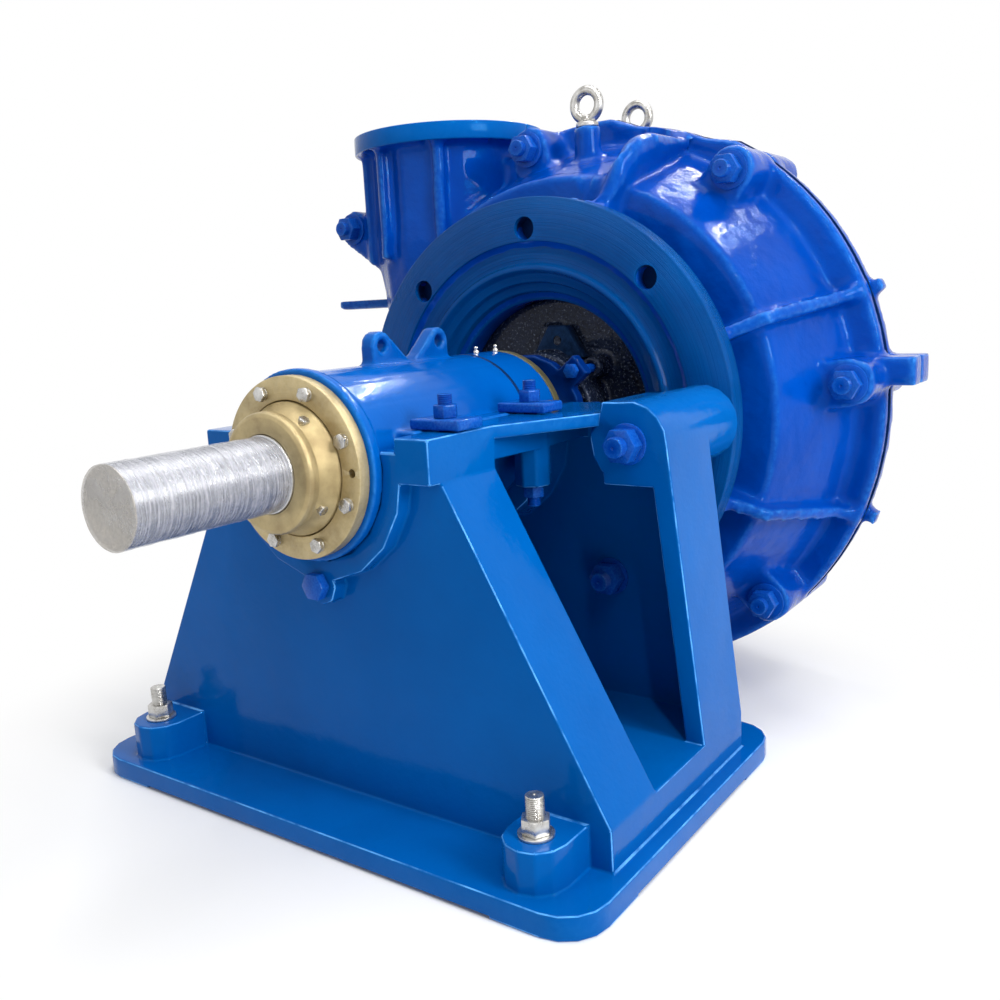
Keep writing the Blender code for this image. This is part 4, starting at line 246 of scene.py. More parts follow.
def new_group(name, values, outputs):
    """A node group with a place, named values and outputs; gives it, its source and its result."""
    group = bpy.data.node_groups.new(name, "ShaderNodeTree")
    group.interface.new_socket(name="Place", in_out="INPUT", socket_type="NodeSocketVector")
    for value, setting in values.items():
        group.interface.new_socket(name=value, in_out="INPUT", socket_type="NodeSocketFloat").default_value = setting
    for output in outputs:
        group.interface.new_socket(name=output, in_out="OUTPUT", socket_type="NodeSocketFloat")
    return group, placed(group, "NodeGroupInput").outputs, placed(group, "NodeGroupOutput").inputs


def grouped(tree, group, place, values):
    """A group placed in a material with the material's own values."""
    node = placed(tree, "ShaderNodeGroup", node_tree=group)
    for name, value in values.items():
        node.inputs[name].default_value = value
    tree.links.new(place, node.inputs["Place"])
    return node.outputs


# Group: broad patches, small specks and the worn edges of a surface; the edges' colour is partly wear and partly a
# painted highlight.
MASKS, source, result = new_group("surface masks", {"Patch Scale": 4.0, "Speck Scale": 90.0},
                                  ("Patches", "Specks", "Edges"))
patches = noise_at(MASKS, source["Place"], source["Patch Scale"], 4.0, 0.55)
specks = noise_at(MASKS, source["Place"], source["Speck Scale"], 3.0, 0.6)
edges = spread(MASKS, placed(MASKS, "ShaderNodeNewGeometry").outputs["Pointiness"], 0.515, 0.6)
worn_glint_edges = reckon(MASKS, "MULTIPLY", edges, spread(MASKS, specks, 0.38, 0.62, 0.25, 1.0))
MASKS.links.new(spread(MASKS, patches, 0.34, 0.66), result["Patches"])
MASKS.links.new(spread(MASKS, specks, 0.56, 0.74), result["Specks"])
MASKS.links.new(worn_glint_edges, result["Edges"])

# Group: the height of a cast or brushed-on skin, as coarse waves with a finer grain.
SKIN, source, result = new_group("cast skin", {"Grain Scale": 300.0, "Wave Scale": 25.0, "Wave Share": 0.7},
                                 ("Height",))
grain = noise_at(SKIN, source["Place"], source["Grain Scale"], 3.0, 0.5)
wave = noise_at(SKIN, source["Place"], source["Wave Scale"], 2.0, 0.45)
fine = reckon(SKIN, "MULTIPLY", grain, reckon(SKIN, "SUBTRACT", 1.0, source["Wave Share"]))
broad = reckon(SKIN, "MULTIPLY", wave, source["Wave Share"])
SKIN.links.new(reckon(SKIN, "ADD", fine, broad), result["Height"])

# Group: the height of fine lathe marks about the shaft's line, a little uneven.
MARKS, source, result = new_group("turned marks", {"Marks Scale": 200.0}, ("Height",))
split = placed(MARKS, "ShaderNodeSeparateXYZ")
MARKS.links.new(source["Place"], split.inputs[0])
across = reckon(MARKS, "MULTIPLY", split.outputs["X"], split.outputs["X"])
upright = reckon(MARKS, "MULTIPLY", split.outputs["Z"], split.outputs["Z"])
radius = reckon(MARKS, "SQRT", reckon(MARKS, "ADD", across, upright), 0.0)
along = reckon(MARKS, "ADD", radius, split.outputs["Y"])
line = placed(MARKS, "ShaderNodeCombineXYZ")
MARKS.links.new(reckon(MARKS, "MULTIPLY", along, source["Marks Scale"]), line.inputs["X"])
MARKS.links.new(noise_at(MARKS, line.outputs[0], 5.0, 4.0, 0.7), result["Height"])


def finish(name, deep, lit, edge, rough, metallic=0.0, skin=(300.0, 25.0, 0.7, 0.0008), patch=4.0,
           speck=90.0, marks=None, coat=0.0, tint=None, wear_and_glint_share=0.5, speck_share=0.25, glint_fleck=None):
    """A surface: its colours in shade, in light and on worn edges that also carry a painted highlight, its roughness
    range, skin and lathe marks; a fleck colour, where given, paints glints on its specks.
    """
    material, tree, shader, place = new_finish(name)
    shader.inputs["Metallic"].default_value = metallic
    shader.inputs["Coat Weight"].default_value = coat
    shader.inputs["Coat Roughness"].default_value = 0.04
    if tint:
        shader.inputs["Specular Tint"].default_value = tint
        shader.inputs["Specular IOR Level"].default_value = 0.14
    masks = grouped(tree, MASKS, place, {"Patch Scale": patch, "Speck Scale": speck})
    colour = blended(tree, masks["Patches"], deep, lit)
    colour = blended(tree, reckon(tree, "MULTIPLY", masks["Specks"], speck_share), colour, glint_fleck or deep)
    # Worn edges, with a painted highlight mixed in.
    colour = blended(tree, reckon(tree, "MULTIPLY", masks["Edges"], wear_and_glint_share), colour, edge)
    uneven = reckon(tree, "ADD", reckon(tree, "MULTIPLY", masks["Patches"], 0.6),
                    reckon(tree, "MULTIPLY", masks["Specks"], 0.4))
    tree.links.new(spread(tree, uneven, 0.0, 1.0, *rough), shader.inputs["Roughness"])
    grain, wave, share, depth = skin
    grown = grouped(tree, SKIN, place, {"Grain Scale": grain, "Wave Scale": wave, "Wave Share": share})
    normal = bumped(tree, grown["Height"], depth)
    if marks:
        scale, depth, share = marks
        lines = grouped(tree, MARKS, place, {"Marks Scale": scale})
        shaded = spread(tree, lines["Height"], 0.5, 0.72, 0.0, share)
        colour = blended(tree, shaded, colour, MARK_SHADE, "MULTIPLY")
        normal = bumped(tree, lines["Height"], depth, normal)
    tree.links.new(colour, shader.inputs["Base Color"])
    tree.links.new(normal, shader.inputs["Normal"])
    return material


cast_paint = finish("paint on casting", BLUE_DEEP, BLUE_LIT, BLUE_EDGE_GLINT, (0.08, 0.18),
                    skin=(240.0, 26.0, 0.9, 0.0038), patch=5.0, coat=0.11, tint=GLOSS_TINT, wear_and_glint_share=0.6)
plate_paint = finish("paint on plate", PLATE_DEEP, PLATE_LIT, BLUE_EDGE_GLINT, (0.03, 0.08),
                     skin=(120.0, 9.0, 0.88, 0.0028), patch=3.0, coat=0.03, tint=GLOSS_TINT, wear_and_glint_share=0.1)
# A painted highlight for the crests of the pedestal's rounded edges.
plate_crest_highlight = finish("painted highlight on plate crests", PLATE_LIT, BRIGHT_EDGE_HIGHLIGHT, BRIGHT_EDGE_HIGHLIGHT, (0.05, 0.12),
                    skin=(120.0, 9.0, 0.88, 0.0028), patch=34.0, coat=0.2, tint=GLOSS_TINT, wear_and_glint_share=0.2)
bolt_paint = finish("paint on bolts", BLUE_DEEP, BLUE_LIT, BLUE_EDGE_GLINT, (0.08, 0.2),
                    skin=(500.0, 120.0, 0.5, 0.0006), patch=20.0, speck=300.0, coat=0.2, tint=GLOSS_TINT,
                    wear_and_glint_share=0.25, speck_share=0.1)


def merged_copy(node):
    """A node's solid as one joined mesh."""
    body = bmesh.new()
    body.from_mesh(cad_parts[node].data)
    bmesh.ops.remove_doubles(body, verts=body.verts, dist=MERGE)
    return body


def as_work(body):
    """A passing object that holds a body for a modifier."""
    mesh = bpy.data.meshes.new("work")
    body.to_mesh(mesh)
    body.free()
    holder = bpy.data.objects.new("work", mesh)
    scene.collection.objects.link(holder)
    return holder


def taken_back(holder, *others):
    """The body that a passing object's modifier made, with the passing objects cleared away."""
    bpy.context.view_layer.update()
    shown = holder.evaluated_get(bpy.context.evaluated_depsgraph_get())
    body = bmesh.new()
    body.from_mesh(shown.to_mesh())
    shown.to_mesh_clear()
    for work in (holder,) + others:
        mesh = work.data
        bpy.data.objects.remove(work, do_unlink=True)
        bpy.data.meshes.remove(mesh)
    return body


def settled(body, verts, times):
    """Ease some vertices of a body towards their neighbours."""
    for _ in range(times):
        bmesh.ops.smooth_vert(body, verts=verts, factor=0.5, use_axis_x=True, use_axis_y=True, use_axis_z=True)
    return body


def cast_body(node, cell, settle=3):
    """A node's solid with the soft corners of a casting."""
    holder = as_work(merged_copy(node))
    modifier = holder.modifiers.new("skin", "REMESH")
    modifier.mode = "VOXEL"
    modifier.voxel_size = cell
    body = taken_back(holder)
    return settled(body, body.verts, settle)


def dress(name, body, material, carrier, *nodes, sharp=50.0):
    """Make a body one piece that rides with its carrier and stands for its nodes."""
    mesh = bpy.data.meshes.new(name)
    body.to_mesh(mesh)
    body.free()
    mesh.shade_smooth()
    mesh.set_sharp_from_angle(angle=math.radians(sharp))
    mesh.materials.append(material)
    piece = bpy.data.objects.new(name, mesh)
    scene.collection.objects.link(piece)
    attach(piece, carrier)
    if nodes:
        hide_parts(*nodes)
    return piece


def plate_body(node, width, near):
    """A node's solid with its edges rounded and its flat faces kept flat, as welded plates are."""
    body = merged_copy(node)
    flat = math.radians(0.5)
    bmesh.ops.dissolve_limit(body, angle_limit=flat, verts=body.verts, edges=body.edges)
    bmesh.ops.remove_doubles(body, verts=body.verts, dist=near)
    bmesh.ops.dissolve_degenerate(body, dist=near / 6, edges=body.edges)
    bmesh.ops.dissolve_limit(body, angle_limit=flat, verts=body.verts, edges=body.edges)
    crowded = {vert for edge in body.edges if edge.calc_length() < LEAST_EDGE * width for vert in edge.verts}
    slim = {face for face in body.faces if 2 * face.calc_area() / face.calc_perimeter() < LEAST_FACE * width}
    sharp = [edge for edge in body.edges
             if len(edge.link_faces) == 2 and edge.calc_face_angle(0.0) > PLATE_BEND
             and slim.isdisjoint(edge.link_faces) and crowded.isdisjoint(edge.verts)]
    rounded = bmesh.ops.bevel(body, geom=sharp, offset=width, offset_type="OFFSET", segments=3, profile=0.5,
                              affect="EDGES", clamp_overlap=False, material=-1)
    bmesh.ops.recalc_face_normals(body, faces=body.faces)
    # Faces rounded over convex crests take the second material, a painted highlight.
    for face in rounded["faces"]:
        bends = [edge for edge in face.edges if edge.calc_face_angle_signed(0.0) > CREST_BEND]
        face.material_index = int(len(bends) > 1)
    bmesh.ops.triangulate(body, faces=body.faces)
    return body


pedestal = dress("pedestal", plate_body("base_frame", PLATE_ROUND, PLATE_NEAR), plate_paint, "casing_and_base",
                 "base_frame")
pedestal.data.materials.append(plate_crest_highlight)
weighted = pedestal.modifiers.new("flat faces", "WEIGHTED_NORMAL")
weighted.keep_sharp = True

# Bearing housing
# A cast tube with two lifting ears, side lips and the lug that the adjusting screw turns in.
# It is turned round again after the mesh is softened, because the solid's tube has flat facets.
HOUSING_STEPS = 18
HOUSING_CELL = 0.0034
HOUSING_REACH, HOUSING_FADE = 0.128, 0.006


def turned_round(body, steps, reach, fade):
    """Lift the facets of a coarse round body about the shaft to its true circle, out to a reach."""
    facet = math.pi / steps
    for vert in body.verts:
        radius = math.hypot(vert.co.x, vert.co.z)
        share = min(1.0, max(0.0, (reach + fade - radius) / fade))
        if radius < MERGE or share == 0.0:
            continue
        local = math.atan2(vert.co.z, vert.co.x) % (2 * facet) - facet
        grow = 1.0 + share * (math.cos(local) / math.cos(facet) - 1.0)
        vert.co.x *= grow
        vert.co.z *= grow
    return body


# Painted light: the housing's blue paint is made lighter than the casing's, for the light on its top.
housing_paint_lighter = finish("paint on housing, lighter as painted light", (0.0, 0.072, 0.34, 1.0), (0.0, 0.104, 0.45, 1.0), BLUE_EDGE_GLINT,
                       (0.07, 0.15), skin=(200.0, 13.0, 0.9, 0.0018), patch=4.0, coat=0.12, tint=GLOSS_TINT,
                       wear_and_glint_share=0.6)
housing = turned_round(cast_body("bearing_housing", HOUSING_CELL, 2), HOUSING_STEPS, HOUSING_REACH, HOUSING_FADE)
dress("housing", housing, housing_paint_lighter, "bearing_assembly", "bearing_housing")

# Bearing covers
# Tan zinc plated steel rings, turned and held by a circle of small hexagon screws.
# The covers' faces are seen, and their spigots go into the housing.
TAN_DEEP = (0.34, 0.255, 0.12, 1.0)
TAN_LIT = (0.58, 0.465, 0.24, 1.0)
TAN_EDGE = (0.8, 0.74, 0.54, 1.0)
ZINC_DEEP = (0.3, 0.285, 0.26, 1.0)
ZINC_LIT = (0.6, 0.595, 0.58, 1.0)
ZINC_EDGE = (0.82, 0.82, 0.81, 1.0)
ROUND_STEPS = 96
COVER_EASE = 0.0012

tan_plate = finish("tan plated steel", TAN_DEEP, TAN_LIT, TAN_EDGE, (0.3, 0.48), metallic=0.5,
                   skin=(900.0, 60.0, 0.3, 0.0002), patch=22.0, speck=240.0, marks=(220.0, 0.0005, 0.25))
zinc = finish("zinc plated steel", ZINC_DEEP, ZINC_LIT, ZINC_EDGE, (0.22, 0.42), metallic=0.9,
              skin=(900.0, 160.0, 0.4, 0.0001), patch=60.0, speck=400.0)


def turned_body(outline, steps=ROUND_STEPS):
    """Closed body turned about the shaft's line; the outline is pairs of radius and station."""
    body = bmesh.new()
    verts = [body.verts.new((radius, station, 0.0)) for radius, station in outline]
    edges = []
    for index, vert in enumerate(verts):
        following = (index + 1) % len(verts)
        if outline[index][0] == 0.0 and outline[following][0] == 0.0:
            continue
        edges.append(body.edges.new((vert, verts[following])))
    bmesh.ops.spin(body, geom=verts + edges, cent=(0.0, 0.0, 0.0), axis=(0.0, 1.0, 0.0), angle=math.tau,
                   steps=steps, use_merge=True)
    bmesh.ops.remove_doubles(body, verts=body.verts, dist=MERGE)
    bmesh.ops.recalc_face_normals(body, faces=body.faces)
    return body


def eased(body, width, least=35.0):
    """Round the sharp edges of a body."""
    sharp = [edge for edge in body.edges
             if len(edge.link_faces) == 2 and edge.calc_face_angle(0.0) > math.radians(least)]
    bmesh.ops.bevel(body, geom=sharp, offset=width, offset_type="OFFSET", segments=2, profile=0.5,
                    affect="EDGES", clamp_overlap=True, material=-1)
    return body


def joined(body, *others):
    """Add other bodies' faces to the first body."""
    for other in others:
        mesh = bpy.data.meshes.new("work")
        other.to_mesh(mesh)
        other.free()
        body.from_mesh(mesh)
        bpy.data.meshes.remove(mesh)
    return body


def moved(body, place):
    """Shift a body."""
    bmesh.ops.translate(body, vec=place, verts=body.verts)
    return body


def swung(body, angle, line):
    """Turn a body about one of the frame's lines."""
    bmesh.ops.rotate(body, cent=(0.0, 0.0, 0.0), matrix=Matrix.Rotation(angle, 3, line), verts=body.verts)
    return body


def on_circle(radius, angle):
    """A place on a circle about the shaft's line."""
    return radius * math.cos(angle), 0.0, radius * math.sin(angle)


def hexagon(flats, start, end, ease=0.0012):
    """Hexagon bar along the shaft's line with eased ends."""
    body = turned_body([(0.0, start), (flats / math.sqrt(3), start), (flats / math.sqrt(3), end), (0.0, end)], 6)
    return eased(body, ease)


def hexagon_screw(flats, radius, seat, head, spring):
    """Small hexagon screw with a spring washer, its head towards the drive end."""
    washer = eased(turned_body([(radius, seat - spring), (radius * 1.75, seat - spring),
                                (radius * 1.75, seat), (radius, seat)], 24), spring / 5)
    return joined(hexagon(flats, seat - spring - head, seat - spring, 0.0008), washer)


COVER_LOW, COVER_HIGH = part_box("drive_end_cover")
HOUSING_LOW, HOUSING_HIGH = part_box("bearing_housing")
LABYRINTH_LOW, LABYRINTH_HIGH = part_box("drive_labyrinth")
COVER_BORE = 0.0912
COVER_SPIGOT = 0.0998
COVER_SPIGOT_WALL = 0.0095
COVER_BACK = HOUSING_LOW.y - 0.0003
COVER_SCREW_CIRCLE = 0.107
COVER_SCREW_FLATS = 0.0182
COVER_SCREW_RADIUS = 0.0052
COVER_SCREW_HEAD = 0.0066
COVER_SCREW_SPRING = 0.0026
COVER_SCREW_TWIST = 1.7
COVER_DRAIN_OUT, COVER_DRAIN_RADIUS = 0.109, 0.0058


def drill(radius, start, end, place):
    """A round cutter along the shaft's line at a place."""
    return moved(turned_body([(0.0, start), (radius, start), (radius, end), (0.0, end)], 32), place)


def drilled(body, holes):
    """A body with holes cut out of it."""
    work, cutters = as_work(body), as_work(holes)
    cut = work.modifiers.new("holes", "BOOLEAN")
    cut.operation = "DIFFERENCE"
    cut.solver = "EXACT"
    cut.object = cutters
    return taken_back(work, cutters)


cover = eased(turned_body([
    (COVER_BORE, COVER_LOW.y), (COVER_HIGH.x, COVER_LOW.y), (COVER_HIGH.x, COVER_BACK),
    (COVER_SPIGOT, COVER_BACK), (COVER_SPIGOT, COVER_HIGH.y), (COVER_SPIGOT - COVER_SPIGOT_WALL, COVER_HIGH.y),
]), COVER_EASE)
drain = drill(COVER_DRAIN_RADIUS, COVER_LOW.y - 0.01, COVER_LOW.y + 0.016, (COVER_DRAIN_OUT, 0.0, 0.0))
dress("drive_cover", drilled(cover, drain), tan_plate, "bearing_assembly", "drive_end_cover")
screws = bmesh.new()
for index in range(8):
    angle = math.radians(22.5 + 45.0 * index)
    screw = hexagon_screw(COVER_SCREW_FLATS, COVER_SCREW_RADIUS, COVER_LOW.y, COVER_SCREW_HEAD,
                          COVER_SCREW_SPRING)
    joined(screws, moved(swung(screw, angle * COVER_SCREW_TWIST, "Y"), on_circle(COVER_SCREW_CIRCLE, angle)))
dress("drive_cover_screws", screws, zinc, "bearing_assembly")

# Joint line and grease nipples of the housing
# A dark band, the painted shade of a shallow joint, runs round the housing near its pump end, and two small
# plated nipples stand on top of it.
JOINT_STATION = 0.655
JOINT_WIDTH = 0.008
JOINT_RADIUS, JOINT_DEPTH = 0.1243, 0.004
NIPPLE_FLATS = 0.0078
NIPPLE_FOOT = 0.1222
NIPPLES = ((0.007, 0.686), (0.009, 0.737))

# Dark sealer for the casing's joint, also used as painted shade in the housing's joint and the ring's holes.
sealer_and_shade = finish("dark sealer and painted shade", (0.002, 0.01, 0.05, 1.0), (0.004, 0.018, 0.09, 1.0), (0.01, 0.05, 0.2, 1.0),
                (0.4, 0.6), skin=(400.0, 60.0, 0.5, 0.001), patch=20.0, tint=GLOSS_TINT)
joint_shade_band = eased(turned_body([
    (JOINT_RADIUS - JOINT_DEPTH, JOINT_STATION), (JOINT_RADIUS, JOINT_STATION),
    (JOINT_RADIUS, JOINT_STATION + JOINT_WIDTH), (JOINT_RADIUS - JOINT_DEPTH, JOINT_STATION + JOINT_WIDTH),
]), JOINT_WIDTH / 8)
dress("housing_joint_shade", joint_shade_band, sealer_and_shade, "bearing_assembly")


def stood_up(body):
    """Turn a body made along the shaft's line so that it points up."""
    return swung(body, math.pi / 2, "X")


nipples = bmesh.new()
for across, station in NIPPLES:
    nipple = joined(hexagon(NIPPLE_FLATS, 0.0, 0.006, 0.0006),
                    eased(turned_body([(0.0, 0.006), (0.0026, 0.006), (0.0022, 0.0082), (0.0034, 0.01),
                                       (0.0024, 0.0124), (0.0, 0.0124)], 24), 0.0003))
    joined(nipples, moved(stood_up(nipple), (across, station, NIPPLE_FOOT)))
dress("grease_nipples", nipples, zinc, "bearing_assembly", sharp=30.0)

# Labyrinth at the drive end
# A turned ring that spins with the shaft just inside the cover, with a raised boss.
# Small screws set round the boss hold it on the shaft.
SHAFT_HOLE = 0.0524
NOSE_RADIUS, NOSE_START = 0.0808, LABYRINTH_LOW.y
DISC_RADIUS = 0.0896
COLLAR_SCREWS = (55.0, 145.0, 235.0, -35.0)
COLLAR_SCREW_FLATS, COLLAR_SCREW_STATION = 0.013, COVER_LOW.y - 0.015

labyrinth = eased(turned_body([
    (SHAFT_HOLE, NOSE_START), (NOSE_RADIUS - 0.007, NOSE_START), (NOSE_RADIUS - 0.002, NOSE_START + 0.002),
    (NOSE_RADIUS, NOSE_START + 0.007), (NOSE_RADIUS, NOSE_START + 0.015),
    (NOSE_RADIUS - 0.0045, NOSE_START + 0.0175), (NOSE_RADIUS - 0.0035, NOSE_START + 0.022),
    (DISC_RADIUS - 0.003, COVER_LOW.y - 0.006), (DISC_RADIUS, COVER_LOW.y - 0.002),
    (DISC_RADIUS, LABYRINTH_HIGH.y), (SHAFT_HOLE, LABYRINTH_HIGH.y),
]), 0.0009, 20.0)
dress("labyrinth", labyrinth, tan_plate, "rotor", "drive_labyrinth")
collar_screws = bmesh.new()
for angle in COLLAR_SCREWS:
    screw = swung(hexagon(COLLAR_SCREW_FLATS, -0.005, 0.0035, 0.0006), -math.pi / 2, "Z")
    moved(screw, (NOSE_RADIUS + 0.001, COLLAR_SCREW_STATION, 0.0))
    joined(collar_screws, swung(screw, -math.radians(angle), "Y"))
dress("labyrinth_screws", collar_screws, zinc, "rotor")

# Shaft and its wrapping
# Ground steel, bare only at the coupling end, where clear film is wound round it for transport.
# The film is crinkled, lies over the key and is folded over the end face.
SHAFT_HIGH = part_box("shaft")[1]
SHAFT_END_RADIUS, SHAFT_TIP_RADIUS = 0.0488, 0.0438
SHAFT_STEPS = ((0.0518, 0.306), (0.0548, 0.364), (0.0638, 0.672), (0.0598, 0.8105), (0.0518, 1.0625))
FILM_END = LABYRINTH_LOW.y - 0.0005
FILM_SET_BACK = 0.0015
FILM_RADIUS, FILM_ROWS, FILM_RINGS = 0.05, 90, 9
FILM_GROWTH, FILM_CRINKLE, FILM_OVER_KEY = 0.0502, 0.0006, 0.0012
KEY_SPAN, KEY_FADE, KEY_RAMP = 0.62, 0.2, 0.02
FILM_DEEP = (0.22, 0.25, 0.32, 1.0)
FILM_LIT = (0.55, 0.55, 0.6, 1.0)
FILM_FOLDED = (0.62, 0.56, 0.46, 1.0)

steel = finish("ground steel", (0.4, 0.4, 0.41, 1.0), (0.6, 0.6, 0.61, 1.0),
               (0.7, 0.7, 0.7, 1.0), (0.2, 0.36), metallic=1.0, skin=(1200.0, 90.0, 0.3, 0.0002),
               patch=18.0, speck=300.0, marks=(260.0, 0.0003, 0.2))

step_start = LABYRINTH_LOW.y - 0.003
shaft_outline = [(0.0, FILM_SET_BACK), (SHAFT_END_RADIUS, FILM_SET_BACK), (SHAFT_END_RADIUS, step_start)]
for step_radius, step_end in SHAFT_STEPS:
    shaft_outline += [(step_radius, step_start), (step_radius, step_end)]
    step_start = step_end
shaft_outline += [(SHAFT_TIP_RADIUS, step_start), (SHAFT_TIP_RADIUS, SHAFT_HIGH.y), (0.0, SHAFT_HIGH.y)]
shaft = eased(turned_body(shaft_outline), 0.0015)
dress("turned_shaft", shaft, steel, "rotor", "shaft")


def clear_film():
    """Clear wrinkled film: see-through, with bright creases, and doubled over the end face."""
    material, tree, shader, place = new_finish("clear film")
    shader.inputs["Coat Weight"].default_value = 0.6
    shader.inputs["Coat Roughness"].default_value = 0.1
    mapping = placed(tree, "ShaderNodeMapping")
    mapping.inputs["Rotation"].default_value = (0.1, 0.0, 0.14)
    mapping.inputs["Scale"].default_value = (17.0, 340.0, 17.0)
    tree.links.new(place, mapping.inputs["Vector"])
    creases = noise_at(tree, mapping.outputs["Vector"], 1.0, 5.0, 0.65)
    crumple = noise_at(tree, place, 130.0, 4.0, 0.6)
    both = reckon(tree, "ADD", reckon(tree, "MULTIPLY", creases, 0.75), reckon(tree, "MULTIPLY", crumple, 0.25))
    split = placed(tree, "ShaderNodeSeparateXYZ")
    tree.links.new(place, split.inputs[0])
    at_end = spread(tree, split.outputs["Y"], 0.001, 0.0022, 0.75, 0.0)
    colour = blended(tree, spread(tree, both, 0.36, 0.66), FILM_DEEP, FILM_LIT)
    tree.links.new(blended(tree, at_end, colour, FILM_FOLDED), shader.inputs["Base Color"])
    tree.links.new(spread(tree, both, 0.38, 0.66, 0.3, 0.78), shader.inputs["Alpha"])
    tree.links.new(spread(tree, both, 0.3, 0.7, 0.14, 0.3), shader.inputs["Roughness"])
    tree.links.new(bumped(tree, both, 0.0009), shader.inputs["Normal"])
    return material


KEY_LOW, KEY_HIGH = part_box("drive_key")
film = bmesh.new()
film_profile = [film.verts.new((FILM_RADIUS * step / FILM_RINGS, 0.0, 0.0)) for step in range(FILM_RINGS + 1)]
film_profile += [film.verts.new((FILM_RADIUS, FILM_END * step / FILM_ROWS, 0.0)) for step in range(1, FILM_ROWS + 1)]
film_edges = [film.edges.new(pair) for pair in zip(film_profile, film_profile[1:])]
bmesh.ops.spin(film, geom=film_profile + film_edges, cent=(0.0, 0.0, 0.0), axis=(0.0, 1.0, 0.0), angle=math.tau,
               steps=ROUND_STEPS, use_merge=True)
bmesh.ops.remove_doubles(film, verts=film.verts, dist=MERGE)
for vert in film.verts:
    radius = math.hypot(vert.co.x, vert.co.z)
    angle = math.atan2(vert.co.z, vert.co.x)
    crinkle = noise.noise(vert.co * 90.0) + 0.5 * noise.noise(Vector((angle * 6.0, vert.co.y * 260.0, 0.0)))
    if radius > FILM_RADIUS - 0.0001:
        over_key = min(1.0, max(0.0, (KEY_SPAN - abs(abs(angle) - math.pi)) / KEY_FADE))
        along_key = min(1.0, max(0.0, (KEY_HIGH.y + 0.01 - vert.co.y) / KEY_RAMP))
        along_key = min(along_key, max(0.0, (vert.co.y - KEY_LOW.y + 0.012) / KEY_RAMP))
        lift = (-KEY_LOW.x + FILM_OVER_KEY - FILM_RADIUS) * over_key * along_key
        grow = (FILM_GROWTH + FILM_CRINKLE * crinkle + lift) / radius
        vert.co.x *= grow
        vert.co.z *= grow
    else:
        vert.co.y = 0.0007 + FILM_CRINKLE * max(-1.0, min(1.0, crinkle))
bmesh.ops.recalc_face_normals(film, faces=film.faces)
dress("shaft_film", film, clear_film(), "rotor")

# Pump end cover
# A plain turned ring of the tan plated steel, darkened as painted shade, seen through the gap in front of the casing.
# Its spigot goes into the housing, as the drive end cover's does.
PUMP_COVER_LOW, PUMP_COVER_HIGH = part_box("pump_end_cover")
PUMP_COVER_RADIUS, PUMP_COVER_SPIGOT, PUMP_COVER_INNER = 0.1238, 0.1028, 0.0932
PUMP_COVER_SEAT = HOUSING_HIGH.y + 0.0003
cover = eased(turned_body([
    (COVER_BORE, PUMP_COVER_HIGH.y), (PUMP_COVER_RADIUS, PUMP_COVER_HIGH.y), (PUMP_COVER_RADIUS, PUMP_COVER_SEAT),
    (PUMP_COVER_SPIGOT, PUMP_COVER_SEAT), (PUMP_COVER_SPIGOT, PUMP_COVER_LOW.y), (PUMP_COVER_INNER, PUMP_COVER_LOW.y),
]), COVER_EASE)
# Painted shade: the tan plated steel, made darker because the cover lies in shade.
tan_plate_shaded = finish("tan plated steel with painted shade", (0.055, 0.05, 0.022, 1.0), (0.12, 0.108, 0.05, 1.0),
                    (0.3, 0.28, 0.16, 1.0), (0.4, 0.6), metallic=0.4,
                    skin=(900.0, 60.0, 0.3, 0.0002), patch=16.0)
dress("pump_cover", cover, tan_plate_shaded, "bearing_assembly", "pump_end_cover")

# Casing halves
# Two iron castings bolted together on an upright joint, with ribs, bolt bosses and half of the
# discharge neck on each. The front one ends in the turned ring that is bolted to the pedestal.
# Its wide rib is shaped into a thin curved web, along outlines of depth behind the ring and radius.
CASING_STEPS = 24
CASING_CELL = 0.0068
CASING_REACH, CASING_FADE = 0.53, 0.02
RING_UNDER = 0.0018
RING_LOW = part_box("frame_plate")[0].y
RING_RADIUS = 0.378
RING_THICKNESS = 0.04
RECESS_RADIUS = 0.304
RING_INNER = 0.254
RECESS_DEPTH = 0.01
BORE_RADIUS = 0.204
BORE_START = 0.049
RIM_RADIUS = 0.5368
WIDE_RIB_TURN = 74.0
WIDE_RIB_SPAN = 9.0
SPLIT_STATION = 1.161
RIB_LEFT, RIB_CUT, RIB_FLANK, RIB_RIGHT = 82.0, 74.0, 71.5, 64.0
RIB_SHIFT, RIB_START, RIB_END = 1.2, 0.004, 0.277
RIB_SLACK, RIB_SOFT, RIB_SETTLE = 0.004, 0.02, 6
CREST = ((0.04, 0.385), (0.049, 0.414), (0.059, 0.447), (0.074, 0.472), (0.111, 0.494), (0.149, 0.512),
         (0.28, 0.516))
RIB_TOP = ((0.04, 0.379), (0.071, 0.435), (0.274, 0.502), (0.28, 0.502))
SHELL_TOP = ((0.04, 0.372), (0.091, 0.415), (0.274, 0.482), (0.28, 0.482))
POCKET_FLOOR = ((0.04, 0.33), (0.088, 0.34), (0.091, 0.415), (0.274, 0.482), (0.28, 0.482))
RIM_FOOT = 0.492
RIM_FLAT_SPAN, RIM_FLAT_FADE, RIM_FLAT_DROP = 8.0, 6.0, 0.03
NOZZLE_PLACE = Vector((-0.389, SPLIT_STATION, 0.0))
NOZZLE_RADIUS, NOZZLE_LOW, NOZZLE_TOP, NOZZLE_BAND, NOZZLE_GAP = 0.202, 0.523, 0.557, 0.0065, 0.0012
RING_HOLE_CIRCLE, RING_HOLE_RADIUS = 0.326, 0.02

turned_paint = finish("paint on turned ring", (0.0, 0.062, 0.27, 1.0), (0.0, 0.088, 0.35, 1.0), BLUE_EDGE_GLINT,
                      (0.14, 0.26), tint=GLOSS_TINT, skin=(260.0, 30.0, 0.6, 0.0008), patch=5.0,
                      marks=(110.0, 0.003, 0.85), coat=0.08, wear_and_glint_share=0.0)


